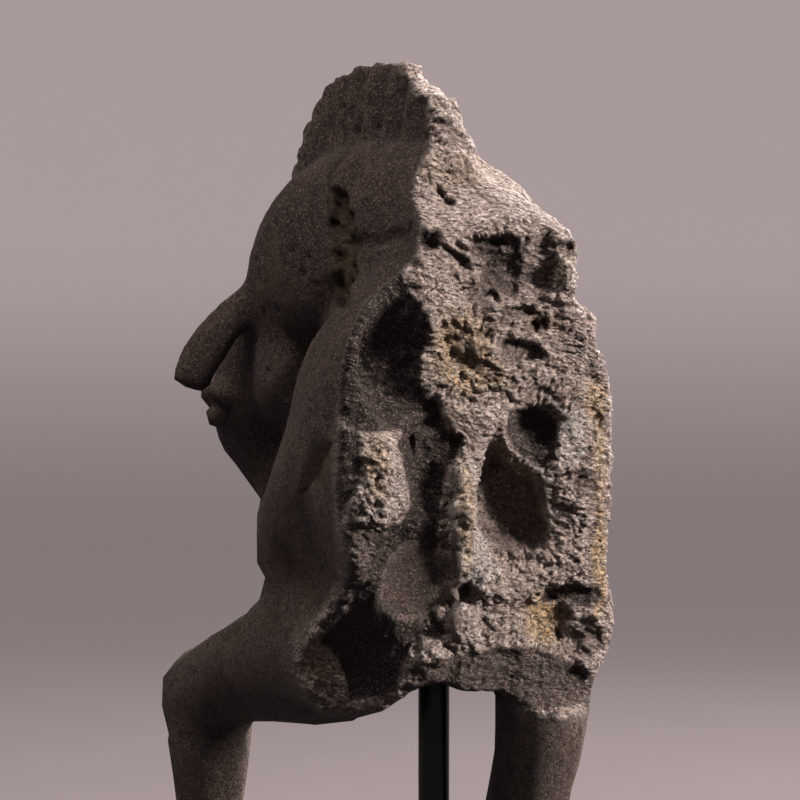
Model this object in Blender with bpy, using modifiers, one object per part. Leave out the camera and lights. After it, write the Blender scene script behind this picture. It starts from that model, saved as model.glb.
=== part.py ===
"""Fore part of a carved stone horse, broken off behind the shoulders, on a rod and a base plate.

Metres, +Z up. The horse looks along -Y and its left side is +X. The origin is
the middle of the base plate's underside.
"""

import math

import bmesh
import bpy
import numpy as np
from mathutils import Matrix, Vector, noise

# Driving sizes
HORSE_HEIGHT = 0.423
BASE_LENGTH = 0.210
BASE_WIDTH = 0.150
BASE_THICKNESS = 0.012
BASE_EDGE = 0.0015
ROD_DIAMETER = 0.012
ROD_CHAMFER = 0.001
SOCKET_DEPTH = 0.022
BASE_BORE_DEPTH = 0.008
FIT_CLEARANCE = 0.0003
BREAK_BEHIND_CENTRE = 0.072

# The pose and the carving are shares of the height: PART is one of 423 parts of it.
PARTS_HIGH = 423
PART = HORSE_HEIGHT / PARTS_HIGH
SOLE_Z = BASE_THICKNESS + FIT_CLEARANCE

# Skins and the finished faceting
ROUGH_SKIN = 3.2 * PART
FINE_SKIN = 2.2 * PART
ROUGH_PASSES = 5
FINE_PASSES = 2
FACETS_KEPT = 0.094
RING_SIDES = 28
SPINE_STEPS = 5

# Where the rod stands, in parts ahead of the break
ROD_AHEAD = 38
BELLY_UP = 180

# Legs stand this far to each side of the middle, in parts
LEG_OUT = 31
RAISED_LEG_OUT = 38


def clear_scene():
    for obj in list(bpy.data.objects):
        bpy.data.objects.remove(obj, do_unlink=True)


def new_collection(name, hidden=False):
    collection = bpy.data.collections.new(name)
    bpy.context.scene.collection.children.link(collection)
    collection.hide_render = hidden
    return collection


def material(name, colour, roughness, metallic):
    made = bpy.data.materials.new(name)
    made.use_nodes = True
    shader = made.node_tree.nodes["Principled BSDF"]
    shader.inputs["Base Color"].default_value = (*colour, 1.0)
    shader.inputs["Roughness"].default_value = roughness
    shader.inputs["Metallic"].default_value = metallic
    made.diffuse_color = (*colour, 1.0)
    return made


def place(left, ahead, up):
    """A point given in parts: left of the middle, ahead of the break, above the sole."""
    return Vector((left * PART, BREAK_BEHIND_CENTRE - ahead * PART, SOLE_Z + up * PART))


def ease(low, high, value):
    """0 below low, 1 above high, and a soft rise between."""
    share = np.clip((value - low) / (high - low), 0.0, 1.0)
    return share * share * (3.0 - 2.0 * share)


def eased_path(stations, steps):
    """Rows of numbers joined by a Catmull-Rom curve, with steps rows to each stretch."""
    rows = np.array(stations, float)
    ends = np.vstack([2 * rows[0] - rows[1], rows, 2 * rows[-1] - rows[-2]])
    path = []
    for first, a, b, last in zip(ends, ends[1:], ends[2:], ends[3:]):
        for share in np.arange(steps) / steps:
            slope = 0.5 * (b - first) * share
            bend = 0.5 * (2 * first - 5 * a + 4 * b - last) * share**2
            twist = 0.5 * (3 * a - first - 3 * b + last) * share**3
            path.append(a + slope + bend + twist)
    path.append(rows[-1])
    return np.array(path)


def loft(shape, stations, side=(1.0, 0.0, 0.0), squareness=2.0, mirror=1, bulge=0.6):
    """A closed skin over stations of left, ahead, up, half width and half depth, all in parts.

    Each section is an ellipse, or squarer, across the spine, and both ends are rounded by bulge.
    """
    rows = eased_path(stations, SPINE_STEPS)
    centres = [place(mirror * row[0], row[1], row[2]) for row in rows]
    side = Vector((mirror * side[0], side[1], side[2]))
    sections = []
    for index, centre in enumerate(centres):
        before = centres[max(index - 1, 0)]
        after = centres[min(index + 1, len(centres) - 1)]
        along = (after - before).normalized()
        sections.append((centre, along, rows[index][3] * PART, rows[index][4] * PART))
    cap_turns = [math.radians(angle) for angle in (75, 50, 25)]
    first_centre, first_along, first_wide, first_deep = sections[0]
    last_centre, last_along, last_wide, last_deep = sections[-1]
    first_bulge = bulge * min(first_wide, first_deep)
    last_bulge = bulge * min(last_wide, last_deep)
    opening = []
    closing = []
    for turn in cap_turns:
        shrink = math.cos(turn)
        reach = math.sin(turn)
        opening.append(
            (first_centre - first_along * first_bulge * reach, first_along,
             first_wide * shrink, first_deep * shrink)
        )
        closing.insert(
            0,
            (last_centre + last_along * last_bulge * reach, last_along,
             last_wide * shrink, last_deep * shrink),
        )
    power = 2.0 / squareness
    rings = []
    for centre, along, wide, deep in opening + sections + closing:
        across = (side - along * side.dot(along)).normalized()
        out = along.cross(across)
        ring = []
        for corner in range(RING_SIDES):
            turn = 2 * math.pi * corner / RING_SIDES
            cosine = math.cos(turn)
            sine = math.sin(turn)
            reach_across = wide * math.copysign(abs(cosine) ** power, cosine)
            reach_out = deep * math.copysign(abs(sine) ** power, sine)
            ring.append(shape.verts.new(centre + across * reach_across + out * reach_out))
        rings.append(ring)
    faces = [shape.faces.new(rings[0]), shape.faces.new(list(reversed(rings[-1])))]
    for ring, after in zip(rings, rings[1:]):
        for corner in range(RING_SIDES):
            following = (corner + 1) % RING_SIDES
            faces.append(
                shape.faces.new(
                    (ring[following], ring[corner], after[corner], after[following])
                )
            )
    bmesh.ops.recalc_face_normals(shape, faces=faces)


def boulder(shape, left, ahead, up, wide, long, high, tilt=0.0, mirror=1):
    """An egg of half sizes wide, long and high, in parts, its top tipped ahead by tilt degrees."""
    size = Matrix.Diagonal((wide * PART, long * PART, high * PART, 1.0))
    turned = Matrix.Rotation(math.radians(tilt), 4, "X")
    moved = Matrix.Translation(place(mirror * left, ahead, up))
    bmesh.ops.create_uvsphere(
        shape, u_segments=24, v_segments=14, radius=1.0, matrix=moved @ turned @ size
    )


def one_skin(shape, voxel, passes):
    """The mesh of one even skin round everything in shape, softened."""
    mesh = bpy.data.meshes.new("rough")
    shape.to_mesh(mesh)
    shape.free()
    rough = bpy.data.objects.new("rough", mesh)
    bpy.context.scene.collection.objects.link(rough)
    skin = rough.modifiers.new("Skin", "REMESH")
    skin.mode = "VOXEL"
    skin.voxel_size = voxel
    soften = rough.modifiers.new("Soften", "SMOOTH")
    soften.factor = 0.5
    soften.iterations = round(passes)
    graph = bpy.context.evaluated_depsgraph_get()
    made = bpy.data.meshes.new_from_object(rough.evaluated_get(graph), depsgraph=graph)
    bpy.data.objects.remove(rough, do_unlink=True)
    bpy.data.meshes.remove(mesh)
    return made


def carve_trunk(shape):
    loft(
        shape,
        [
            (1, -22, 262, 57, 84),
            (1, 10, 263, 58, 85),
            (1, 34, 260, 57, 81),
            (1, 58, 247, 50, 67),
            (0, 80, 236, 40, 52),
            (0, 95, 230, 26, 34),
        ],
        squareness=2.3,
    )
    for mirror in (1, -1):
        boulder(shape, 17, 82, 232, 22, 22, 34, tilt=8, mirror=mirror)
    boulder(shape, 45, 4, 204, 13, 15, 24, tilt=-8, mirror=-1)


def carve_withers_and_neck(shape):
    loft(
        shape,
        [
            (-7, -20, 324, 32.5, 57),
            (-7, 16, 328, 32.5, 59),
            (-3, 48, 334, 28, 56),
            (0, 76, 344, 28, 46),
            (0, 101, 344, 31, 38.5),
            (0, 120, 331, 29, 34),
            (0, 132, 315, 24, 26),
        ],
        squareness=2.5,
    )
    loft(shape, [(0, 82, 312, 20, 22), (0, 70, 284, 22, 26), (0, 66, 250, 26, 24)])


# The tops of the shoulders, left, ahead, up, half width and half depth: the right one is broken lower
LEFT_SHOULDER_TOP = [(24, -2, 328, 12, 15), (36, 9, 309, 19, 23)]
RIGHT_SHOULDER_TOP = [(34, 12, 297, 17, 20)]


def carve_shoulder(shape, top, mirror):
    loft(
        shape,
        top + [(39, 36, 275, 20, 26), (38, 65, 243, 20, 26), (36, 70, 220, 19, 25)],
        mirror=mirror,
    )


def carve_standing_leg(shape):
    loft(
        shape,
        [
            (31, 22, 240, 22, 30),
            (31, 11, 208, 22, 27),
            (LEG_OUT - 0.5, 8, 182, 19.5, 19.5),
            (LEG_OUT - 0.5, 11, 158, 17, 19),
            (LEG_OUT - 1, 16, 138, 15.5, 17.5),
            (LEG_OUT - 2.5, 21, 116, 15.5, 17),
            (LEG_OUT - 3, 21.5, 106, 16, 17),
            (LEG_OUT - 3, 20.5, 86, 12.5, 13.5),
            (LEG_OUT - 3, 19.5, 64, 12, 13),
            (LEG_OUT - 3, 19.5, 46, 14, 15.5),
            (LEG_OUT - 3, 24, 31, 12.5, 13.5),
            (LEG_OUT - 3, 28, 19, 16, 17),
        ],
        mirror=-1,
    )
    loft(
        shape,
        [
            (LEG_OUT - 3, 29, 20, 16, 17.5),
            (LEG_OUT - 3, 31, 8, 18.5, 21),
            (LEG_OUT - 3, 32.5, -5, 20.5, 23.5),
        ],
        squareness=2.4,
        mirror=-1,
        bulge=0.15,
    )


def carve_raised_leg(shape):
    loft(
        shape,
        [
            (34, 14, 212, 19, 30),
            (36, 36, 201, 21, 33),
            (RAISED_LEG_OUT, 66, 191, 21, 30),
            (RAISED_LEG_OUT, 97, 183, 19, 24),
            (RAISED_LEG_OUT, 124, 175, 17.5, 20),
            (RAISED_LEG_OUT, 142, 167, 18, 20),
        ],
    )
    boulder(shape, RAISED_LEG_OUT, 150, 164, 17.5, 20.5, 21.5, tilt=20)
    loft(
        shape,
        [
            (RAISED_LEG_OUT, 149, 160, 17, 19),
            (RAISED_LEG_OUT, 146, 142, 16.5, 16),
            (RAISED_LEG_OUT, 146, 121, 13.5, 13.5),
            (RAISED_LEG_OUT, 144, 102, 12.5, 13),
            (RAISED_LEG_OUT, 141, 84, 14.5, 15.5),
            (RAISED_LEG_OUT, 134, 70, 12.5, 13),
            (RAISED_LEG_OUT, 127, 59, 15, 15.5),
        ],
        squareness=2.3,
    )
    loft(
        shape,
        [
            (RAISED_LEG_OUT, 127, 59, 16, 16.5),
            (RAISED_LEG_OUT, 119, 48, 18.5, 19),
            (RAISED_LEG_OUT, 111, 37, 20.5, 22),
        ],
        squareness=2.4,
        bulge=0.12,
    )


def carve_head(shape):
    loft(
        shape,
        [
            (0, 132, 331, 20, 15),
            (0, 150, 313, 23.5, 19),
            (0, 159, 290, 24.5, 21),
            (0, 160, 272, 23.5, 20.5),
            (0, 149, 252, 13, 13.5),
            (0, 144, 240, 12.5, 13),
            (0, 140, 228, 13, 13),
        ],
        squareness=2.3,
    )
    loft(
        shape,
        [
            (0, 119, 316, 16, 18),
            (0, 126, 297, 18, 23),
            (0, 134, 274, 15, 18),
            (0, 134, 254, 10.5, 12),
            (0, 131, 236, 11, 10),
        ],
        squareness=2.3,
    )
    for mirror in (1, -1):
        boulder(shape, 14, 121, 298, 12.5, 23, 27, tilt=-14, mirror=mirror)
        boulder(shape, 17.5, 154, 286, 7.5, 12, 16, tilt=-6, mirror=mirror)


def carve_face_details(shape, mirror):
    """Ear, eye, brow, nostril and lips of one side."""
    loft(
        shape,
        [
            (17, 137, 331, 6, 5),
            (28, 140, 322, 7.5, 5),
            (37.5, 142, 311, 9, 4.5),
            (44.5, 144, 300, 9.5, 4),
            (48, 145, 291, 8.5, 3.5),
        ],
        side=(0.66, -0.46, 0.59),
        mirror=mirror,
        bulge=0.4,
    )
    boulder(shape, 23, 162, 279, 5.5, 7.5, 5.5, tilt=-20, mirror=mirror)
    loft(
        shape,
        [
            (18, 175, 287, 3, 3),
            (24.5, 167, 288.5, 3.5, 3.5),
            (25.5, 153, 285, 3, 3),
        ],
        mirror=mirror,
    )
    boulder(shape, 9.5, 149, 234, 5, 6.5, 7, tilt=-25, mirror=mirror)


# The crest under the mane from the break to the ears: ahead, up and the height of the hair
CREST = [
    (8, 383, 27),
    (44, 387, 33),
    (84, 388, 35),
    (106, 383, 31.5),
    (122, 372, 20.5),
    (136, 356, 11),
    (149, 340, 7),
]
LOCKS = 18
FORELOCK = [(4, 150, 336, 6, 4), (6, 166, 325, 6, 4), (6, 174, 312, 4.5, 3.5), (4, 178, 299, 2.5, 2.5)]


def carve_mane(shape):
    """A fan of upright locks over the crest on a thinner comb, shorter towards the ears."""
    crest = eased_path(CREST, 12)
    places = np.linspace(0, len(crest) - 1, LOCKS)
    runs = np.gradient(crest[:, :2], axis=0)
    comb = []
    for index, spot in enumerate(places):
        row = int(round(spot))
        ahead, up, tall = crest[row]
        run = Vector(runs[row]).normalized()
        rise = Vector((-run.y, run.x))
        share = index / (LOCKS - 1)
        tall *= 1.0 - 0.05 * (index % 2)
        curl = 3.0 - 5.0 * share
        stations = []
        for reach, spread in ((-0.3, 1.0), (0.3, 1.05), (0.7, 0.9), (0.97, 0.5)):
            drift = curl * reach * abs(reach)
            stations.append(
                (0, ahead + rise.x * tall * reach - run.x * drift,
                 up + rise.y * tall * reach - run.y * drift,
                 (8.5 - 3.0 * share) * spread, (6.2 - 1.6 * share) * spread)
            )
        loft(shape, stations)
        middle = 0.32 * tall
        comb.append((0, ahead + rise.x * middle, up + rise.y * middle, 6.0 - 2.0 * share, 0.62 * tall))
    loft(shape, comb, bulge=0.2)
    for mirror in (1, -1):
        loft(shape, FORELOCK, mirror=mirror)


# The break seen from behind: hollows as left, up, half width, half height and depth, in parts
HOLLOWS = {
    "shoulder pit": (38, 303, 12, 24, 15),
    "shoulder pit foot": (24, 285, 6, 6, 9),
    "upper recess": (-5, 337, 21, 15, 9),
    "upper slot": (13, 366, 4, 3, 6),
    "upper cleft": (19, 351, 4, 4, 8),
    "ledge hollow": (2, 327, 5, 5, 6),
    "side hole": (-24, 318, 4, 4, 7),
    "ochre cavity": (10, 307, 9, 12, 9),
    "middle recess": (22, 264, 9, 15, 10),
    "right pit": (-23, 279, 11, 10, 11),
    "great pit": (-14, 246, 18, 22, 23),
    "great pit head": (-7, 266, 7, 12, 12),
    "low left hollow": (28, 222, 18, 24, 14),
    "ochre bowl": (-28, 206, 13, 11, 10),
    "small hole": (9, 217, 3.5, 3.5, 7),
}

# Ridges left standing between the hollows, in the same form with their height
RIDGES = {
    "shoulder ridge": (43, 258, 9, 20, 6),
    "middle lip": (8, 246, 6, 22, 6),
    "upper ridge": (26, 320, 5, 16, 5),
    "right wall": (-46, 262, 7, 26, 3),
    "low ridge": (-3, 219, 14, 6, 4),
}

# The crags of the broken face: their size and their relief
CRAG_SIZE = 17.0
CRAG_RELIEF = 2.6

# The break lies above this height and behind this place, and far behind it nothing is cut
BREAK_FOOT = 150
BREAK_REACH = 60
UNCUT = -100.0


def break_ahead(left, up):
    """How far ahead of the break's plane the stone ends, in parts, seen from behind."""
    depth = -3.0 + 12.0 * float(ease(-50, 50, left))
    depth += 17.0 * float(ease(348, 374, up)) + 6.0 * float(ease(380, 402, up))
    depth += 20.0 * float(ease(401, 412, up))
    depth += 34.0 * float(ease(28, 58, left)) * float(1.0 - ease(186, 234, up))
    depth += 14.0 * float(ease(370, 383, up)) * float(1.0 - ease(-20, -8, left))
    depth += 0.6 * max(-8.0, min(10.0, left)) * float(ease(374, 388, up))
    slope = (up - 350) - 0.8 * (left + 40)
    depth += 8.0 * float(ease(-6, 10, slope)) * float(1.0 - ease(-8, 4, left))
    depth -= 40.0 * float(1.0 - ease(152, 180, up)) * float(1.0 - ease(-14, 0, left))
    for hollow_left, hollow_up, wide, high, deep in HOLLOWS.values():
        away = math.hypot((left - hollow_left) / wide, (up - hollow_up) / high)
        depth += deep * float(1.0 - ease(0.35, 1.25, away))
    for ridge_left, ridge_up, wide, high, tall in RIDGES.values():
        away = math.hypot((left - ridge_left) / wide, (up - ridge_up) / high)
        depth -= tall * float(1.0 - ease(0.1, 1.3, away))
    spot = Vector((left / CRAG_SIZE, up / CRAG_SIZE, 0.7))
    depth += CRAG_RELIEF * noise.fractal(spot, 0.6, 2.1, 4)
    return depth


# Chips off the skin beside the break, as left, ahead, up, radius and depth
CHIPS = [
    (-52, 0, 322, 18, 9),
    (-25, 24, 384, 14, 6),
    (58, 12, 338, 12, 5),
    (-58, -2, 236, 9, 3),
    (52, 8, 250, 9, 3),
]


def near_line(point, ends, reach):
    """1 on the polyline through ends, falling to 0 at reach, all in parts."""
    best = 1e9
    for first, last in zip(ends, ends[1:]):
        a = Vector(first)
        run = Vector(last) - a
        share = max(0.0, min(1.0, (point - a).dot(run) / run.length_squared))
        best = min(best, (point - a - run * share).length)
    return max(0.0, 1.0 - best / reach)


# The open crack down the left of the neck, as left, ahead and up in parts, its depth and its reach
NECK_CRACK = [(20, 64, 376), (28, 66, 360), (30, 64, 338), (29, 62, 322)]
CRACK_DEPTH = 4.5
CRACK_REACH = 7.0


def in_parts(point):
    """The parts of a point in metres: left, ahead and up."""
    return Vector(
        (point.x / PART, (BREAK_BEHIND_CENTRE - point.y) / PART, (point.z - SOLE_Z) / PART)
    )


def break_off(mesh):
    """Chips the skin, opens the neck's crack and pushes what lies behind the break onto its face."""
    for vertex in mesh.vertices:
        at = in_parts(vertex.co)
        near = at.y < BREAK_REACH and at.z > BREAK_FOOT
        end = break_ahead(at.x, at.z) if near else UNCUT
        seen = Vector((at.x, max(at.y, end), at.z))
        inward = CRACK_DEPTH * near_line(seen, NECK_CRACK, CRACK_REACH)
        for left, ahead, up, radius, deep in CHIPS:
            away = (seen - Vector((left, ahead, up))).length / radius
            inward += deep * float(1.0 - ease(0.3, 1.0, away))
        at -= vertex.normal * inward * Vector((1.0, -1.0, 1.0))
        vertex.co = place(at.x, max(at.y, end), at.z)


def build_horse(parts, cutters, stone):
    masses = bmesh.new()
    carve_trunk(masses)
    carve_withers_and_neck(masses)
    carve_shoulder(masses, LEFT_SHOULDER_TOP, 1)
    carve_shoulder(masses, RIGHT_SHOULDER_TOP, -1)
    carve_standing_leg(masses)
    carve_raised_leg(masses)
    carve_head(masses)
    rough = one_skin(masses, ROUGH_SKIN, ROUGH_PASSES)

    detailed = bmesh.new()
    detailed.from_mesh(rough)
    carve_mane(detailed)
    carve_face_details(detailed, 1)
    carve_face_details(detailed, -1)
    whole = one_skin(detailed, FINE_SKIN, FINE_PASSES)
    break_off(whole)

    broken = bmesh.new()
    broken.from_mesh(whole)
    skin = one_skin(broken, FINE_SKIN, 1)
    horse = bpy.data.objects.new("stone_horse", skin)
    skin.name = "stone_horse"
    skin.materials.clear()
    skin.materials.append(stone)
    parts.objects.link(horse)
    fewer = horse.modifiers.new("Facets", "DECIMATE")
    fewer.ratio = FACETS_KEPT
    cut(horse, socket_cutter(cutters))
    cut(horse, sole_cutter(cutters))
    return horse


def cut(obj, cutter):
    boolean = obj.modifiers.new(cutter.name, "BOOLEAN")
    boolean.operation = "DIFFERENCE"
    boolean.solver = "EXACT"
    boolean.object = cutter


def cylinder(name, radius, bottom, top, middle, collection, chamfer=0.0):
    """A round bar from bottom to top over the point middle."""
    mesh = bpy.data.meshes.new(name)
    shape = bmesh.new()
    bmesh.ops.create_cone(
        shape, cap_ends=True, segments=40, radius1=radius, radius2=radius, depth=top - bottom
    )
    if chamfer:
        rims = [edge for edge in shape.edges if abs(edge.verts[0].co.z - edge.verts[1].co.z) < 1e-6]
        bmesh.ops.bevel(shape, geom=rims, offset=chamfer, segments=1, affect="EDGES")
    shape.to_mesh(mesh)
    shape.free()
    obj = bpy.data.objects.new(name, mesh)
    obj.location = (middle.x, middle.y, (bottom + top) / 2)
    collection.objects.link(obj)
    mesh.shade_smooth()
    mesh.set_sharp_from_angle(angle=math.radians(40))
    return obj


def as_cutter(obj):
    obj.hide_render = True
    obj.display_type = "WIRE"
    return obj


def rod_middle():
    return place(0, ROD_AHEAD, 0)


def socket_top():
    return place(0, ROD_AHEAD, BELLY_UP).z + SOCKET_DEPTH


def socket_cutter(cutters):
    below = place(0, ROD_AHEAD, BELLY_UP - 40).z
    radius = ROD_DIAMETER / 2 + FIT_CLEARANCE
    return as_cutter(
        cylinder("rod_socket", radius, below, socket_top(), rod_middle(), cutters)
    )


def sole_cutter(cutters):
    """A block under the standing hoof, which leaves the sole flat."""
    size = 80 * PART
    mesh = bpy.data.meshes.new("flat_sole")
    shape = bmesh.new()
    bmesh.ops.create_cube(shape, size=size)
    shape.to_mesh(mesh)
    shape.free()
    obj = bpy.data.objects.new("flat_sole", mesh)
    foot = place(-LEG_OUT, ROD_AHEAD, 0)
    obj.location = (foot.x, foot.y, SOLE_Z - size / 2)
    cutters.objects.link(obj)
    return as_cutter(obj)


def build_rod(parts, metal):
    bottom = BASE_THICKNESS - BASE_BORE_DEPTH + FIT_CLEARANCE
    top = socket_top() - FIT_CLEARANCE
    rod = cylinder(
        "support_rod", ROD_DIAMETER / 2, bottom, top, rod_middle(), parts, ROD_CHAMFER
    )
    rod.data.materials.append(metal)
    return rod


def build_base(parts, cutters, metal):
    mesh = bpy.data.meshes.new("base_plate")
    shape = bmesh.new()
    size = Matrix.Diagonal((BASE_WIDTH, BASE_LENGTH, BASE_THICKNESS, 1.0))
    bmesh.ops.create_cube(shape, size=1.0, matrix=size)
    shape.to_mesh(mesh)
    shape.free()
    mesh.materials.append(metal)
    base = bpy.data.objects.new("base_plate", mesh)
    base.location = (0, 0, BASE_THICKNESS / 2)
    parts.objects.link(base)
    edge = base.modifiers.new("Eased edges", "BEVEL")
    edge.width = BASE_EDGE
    edge.segments = 2
    bore = cylinder(
        "rod_bore",
        ROD_DIAMETER / 2 + FIT_CLEARANCE,
        BASE_THICKNESS - BASE_BORE_DEPTH,
        2 * BASE_THICKNESS,
        rod_middle(),
        cutters,
    )
    cut(base, as_cutter(bore))
    return base


def main():
    clear_scene()
    parts = new_collection("stone_horse_statue")
    cutters = new_collection("cutters", hidden=True)
    stone = material("dark_carved_stone", (0.085, 0.068, 0.058), 0.88, 0.0)
    metal = material("black_painted_metal", (0.012, 0.012, 0.013), 0.38, 0.0)
    build_horse(parts, cutters, stone)
    build_rod(parts, metal)
    build_base(parts, cutters, metal)


main()
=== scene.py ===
"""The broken stone horse on its rod and plate, dressed for its photograph.

Metres, +Z up, the horse looking along -Y with its left side at +X, as in the CAD frame. Places on
the stone are in parts, as in the CAD source: left of the middle, ahead of the break, above the sole.
"""

import itertools
import math

import bmesh
import bpy
import numpy as np
from mathutils import Matrix, Vector


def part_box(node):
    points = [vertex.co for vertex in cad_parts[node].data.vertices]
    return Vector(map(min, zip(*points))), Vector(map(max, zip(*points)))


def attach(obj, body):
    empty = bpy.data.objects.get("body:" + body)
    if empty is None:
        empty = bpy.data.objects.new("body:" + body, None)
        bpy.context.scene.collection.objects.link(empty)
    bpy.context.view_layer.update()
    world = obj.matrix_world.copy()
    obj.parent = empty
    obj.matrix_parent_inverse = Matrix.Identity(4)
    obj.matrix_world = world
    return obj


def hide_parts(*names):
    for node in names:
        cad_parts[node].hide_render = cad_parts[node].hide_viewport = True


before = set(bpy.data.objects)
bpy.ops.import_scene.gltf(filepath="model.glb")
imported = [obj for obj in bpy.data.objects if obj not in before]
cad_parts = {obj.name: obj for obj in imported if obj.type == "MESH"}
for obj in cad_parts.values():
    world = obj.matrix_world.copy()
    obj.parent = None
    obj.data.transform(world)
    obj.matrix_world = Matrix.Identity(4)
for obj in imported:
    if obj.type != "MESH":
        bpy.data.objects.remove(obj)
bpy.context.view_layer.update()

# The CAD source's own measures: one part, the break's plane and the height of the sole
PART = 0.001
BREAK_Y = 0.072
SOLE_Z = 0.0123

# The photograph is taken from behind, somewhat from the horse's left
VIEW_TURN = math.radians(147)
VIEW_RISE = math.radians(2)
VIEW_DISTANCE = 1.2
LENS = 144.0
FRAME = 800.0
SENSOR = 36.0
AIM_ACROSS = -0.03375
AIM_Z = 0.3013
CLIP_NEAR = 0.02
CLIP_FAR = 50.0
SIGHT_RIGHT = Vector((math.cos(VIEW_TURN), math.sin(VIEW_TURN), 0.0))
SIGHT_BACK = Vector((math.sin(VIEW_TURN), -math.cos(VIEW_TURN), 0.0))


def way_to(turn, rise):
    """The direction from the stone towards what stands at turn and rise, in radians."""
    return (
        math.sin(turn) * math.cos(rise),
        -math.cos(turn) * math.cos(rise),
        math.sin(rise),
    )


# Skins of the dressed stone, in metres, and the triangles it keeps
FORM_SKIN = 1.1 * PART
DETAIL_SKIN = 0.68 * PART
STONE_TRIANGLES = 190000


def ease(low, high, value):
    """0 below low, 1 above high, and a soft rise between."""
    share = np.clip((value - low) / (high - low), 0.0, 1.0)
    return share * share * (3.0 - 2.0 * share)


# Noise on rows of points, repeatable from its seed, which is the last number of each call

FAR_OFF = 1e9
SLOPES = np.array(
    [(a, b, 0) for a in (1, -1) for b in (1, -1)]
    + [(a, 0, b) for a in (1, -1) for b in (1, -1)]
    + [(0, a, b) for a in (1, -1) for b in (1, -1)],
    float,
)
TURN = np.array(Matrix.Rotation(0.9, 3, Vector((1.0, 0.7, 0.4))))


# Odd factors that scatter cell numbers, and how many values the result can have
CELL_FACTORS = (374761393, 668265263, 974634777)
SEED_FACTOR = 69069
MIX_FACTOR = 1274126177
SCATTER_VALUES = 0x100000


def scattered(cells, seed):
    """A number from 0 to 1 for each whole-numbered cell."""
    whole = cells.astype(np.int64)
    mixed = np.sum(whole * np.array(CELL_FACTORS), axis=1) + seed * SEED_FACTOR
    mixed = (mixed ^ (mixed >> 13)) * MIX_FACTOR
    mixed = mixed ^ (mixed >> 16)
    return (mixed & (SCATTER_VALUES - 1)) / float(SCATTER_VALUES)


def waves(points, size, seed):
    """Soft noise from -1 to 1 with waves of about size."""
    spot = points / size
    cell = np.floor(spot)
    share = spot - cell
    fade = share * share * share * (share * (share * 6.0 - 15.0) + 10.0)
    total = np.zeros(len(points))
    for corner in itertools.product((0, 1), repeat=3):
        offset = np.array(corner, float)
        slope = SLOPES[(scattered(cell + offset, seed) * 12).astype(int)]
        weight = np.prod(np.where(offset == 1, fade, 1.0 - fade), axis=1)
        total += weight * np.sum(slope * (share - offset), axis=1)
    return total


def layered(points, size, layers, seed, ridged=False):
    """Noise of several layers, each of half the size and strength of the one before."""
    total = np.zeros(len(points))
    whole = 0.0
    strength = 1.0
    for layer in range(layers):
        wave = waves(points, size, seed + layer)
        if ridged:
            wave = 1.0 - 2.2 * np.abs(wave)
        total += strength * wave
        whole += strength
        strength *= 0.5
        size *= 0.5
        points = points @ TURN
    return total / whole


def grains(points, size, seed):
    """For scattered grains: how far the nearest one is, and its own number."""
    spot = points / size
    cell = np.floor(spot)
    nearest = np.full(len(points), FAR_OFF)
    own = np.zeros(len(points))
    for shift in itertools.product((-1, 0, 1), repeat=3):
        there = cell + np.array(shift, float)
        centre = there + np.stack([scattered(there, seed + axis) for axis in range(3)], axis=1)
        away = np.linalg.norm(centre - spot, axis=1)
        nearer = away < nearest
        own = np.where(nearer, scattered(there, seed + 3), own)
        nearest = np.where(nearer, away, nearest)
    return nearest, own


def facets(points, size, seed):
    """Stone chipped into small tilted faces: the height of each place, about -1 to 1."""
    spot = points / size
    cell = np.floor(spot)
    nearest = np.full(len(points), FAR_OFF)
    height = np.zeros(len(points))
    for shift in itertools.product((-1, 0, 1), repeat=3):
        there = cell + np.array(shift, float)
        centre = there + np.stack([scattered(there, seed + axis) for axis in range(3)], axis=1)
        off = spot - centre
        away = np.linalg.norm(off, axis=1)
        tilt = np.stack([scattered(there, seed + 5 + axis) - 0.5 for axis in range(3)], axis=1)
        face = 1.2 * (scattered(there, seed + 9) - 0.5) + 2.2 * np.sum(off * tilt, axis=1)
        nearer = away < nearest
        height = np.where(nearer, face, height)
        nearest = np.where(nearer, away, nearest)
    return height


# Meshes as rows of points

def points_of(mesh):
    flat = np.empty(len(mesh.vertices) * 3)
    mesh.vertices.foreach_get("co", flat)
    return flat.reshape(-1, 3)


def put_points(mesh, points):
    mesh.vertices.foreach_set("co", points.ravel())
    mesh.update()


def normals_of(mesh):
    flat = np.empty(len(mesh.vertices) * 3)
    mesh.vertex_normals.foreach_get("vector", flat)
    return flat.reshape(-1, 3)


def edges_of(mesh):
    flat = np.empty(len(mesh.edges) * 2, dtype=np.int32)
    mesh.edges.foreach_get("vertices", flat)
    return flat.reshape(-1, 2)


def spread(values, edges, rounds, share=0.5):
    """values drawn towards their neighbours' mean along the edges, rounds times."""
    count = len(values)
    wide = values.reshape(count, -1)
    joined = np.bincount(edges.ravel(), minlength=count)
    for _ in range(rounds):
        for column in range(wide.shape[1]):
            line = wide[:, column]
            total = np.bincount(edges[:, 0], line[edges[:, 1]], count)
            total += np.bincount(edges[:, 1], line[edges[:, 0]], count)
            moved = share * (total / joined - line)
            wide[:, column] = line + moved
    return wide.reshape(values.shape)


def even_skin(mesh, voxel):
    """A mesh of one even skin of voxel-sized squares round mesh."""
    holder = bpy.data.objects.new("skin_holder", mesh)
    bpy.context.scene.collection.objects.link(holder)
    skin = holder.modifiers.new("Skin", "REMESH")
    skin.mode = "VOXEL"
    skin.voxel_size = voxel
    graph = bpy.context.evaluated_depsgraph_get()
    made = bpy.data.meshes.new_from_object(holder.evaluated_get(graph), depsgraph=graph)
    bpy.data.objects.remove(holder, do_unlink=True)
    bpy.data.meshes.remove(mesh)
    return made


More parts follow.
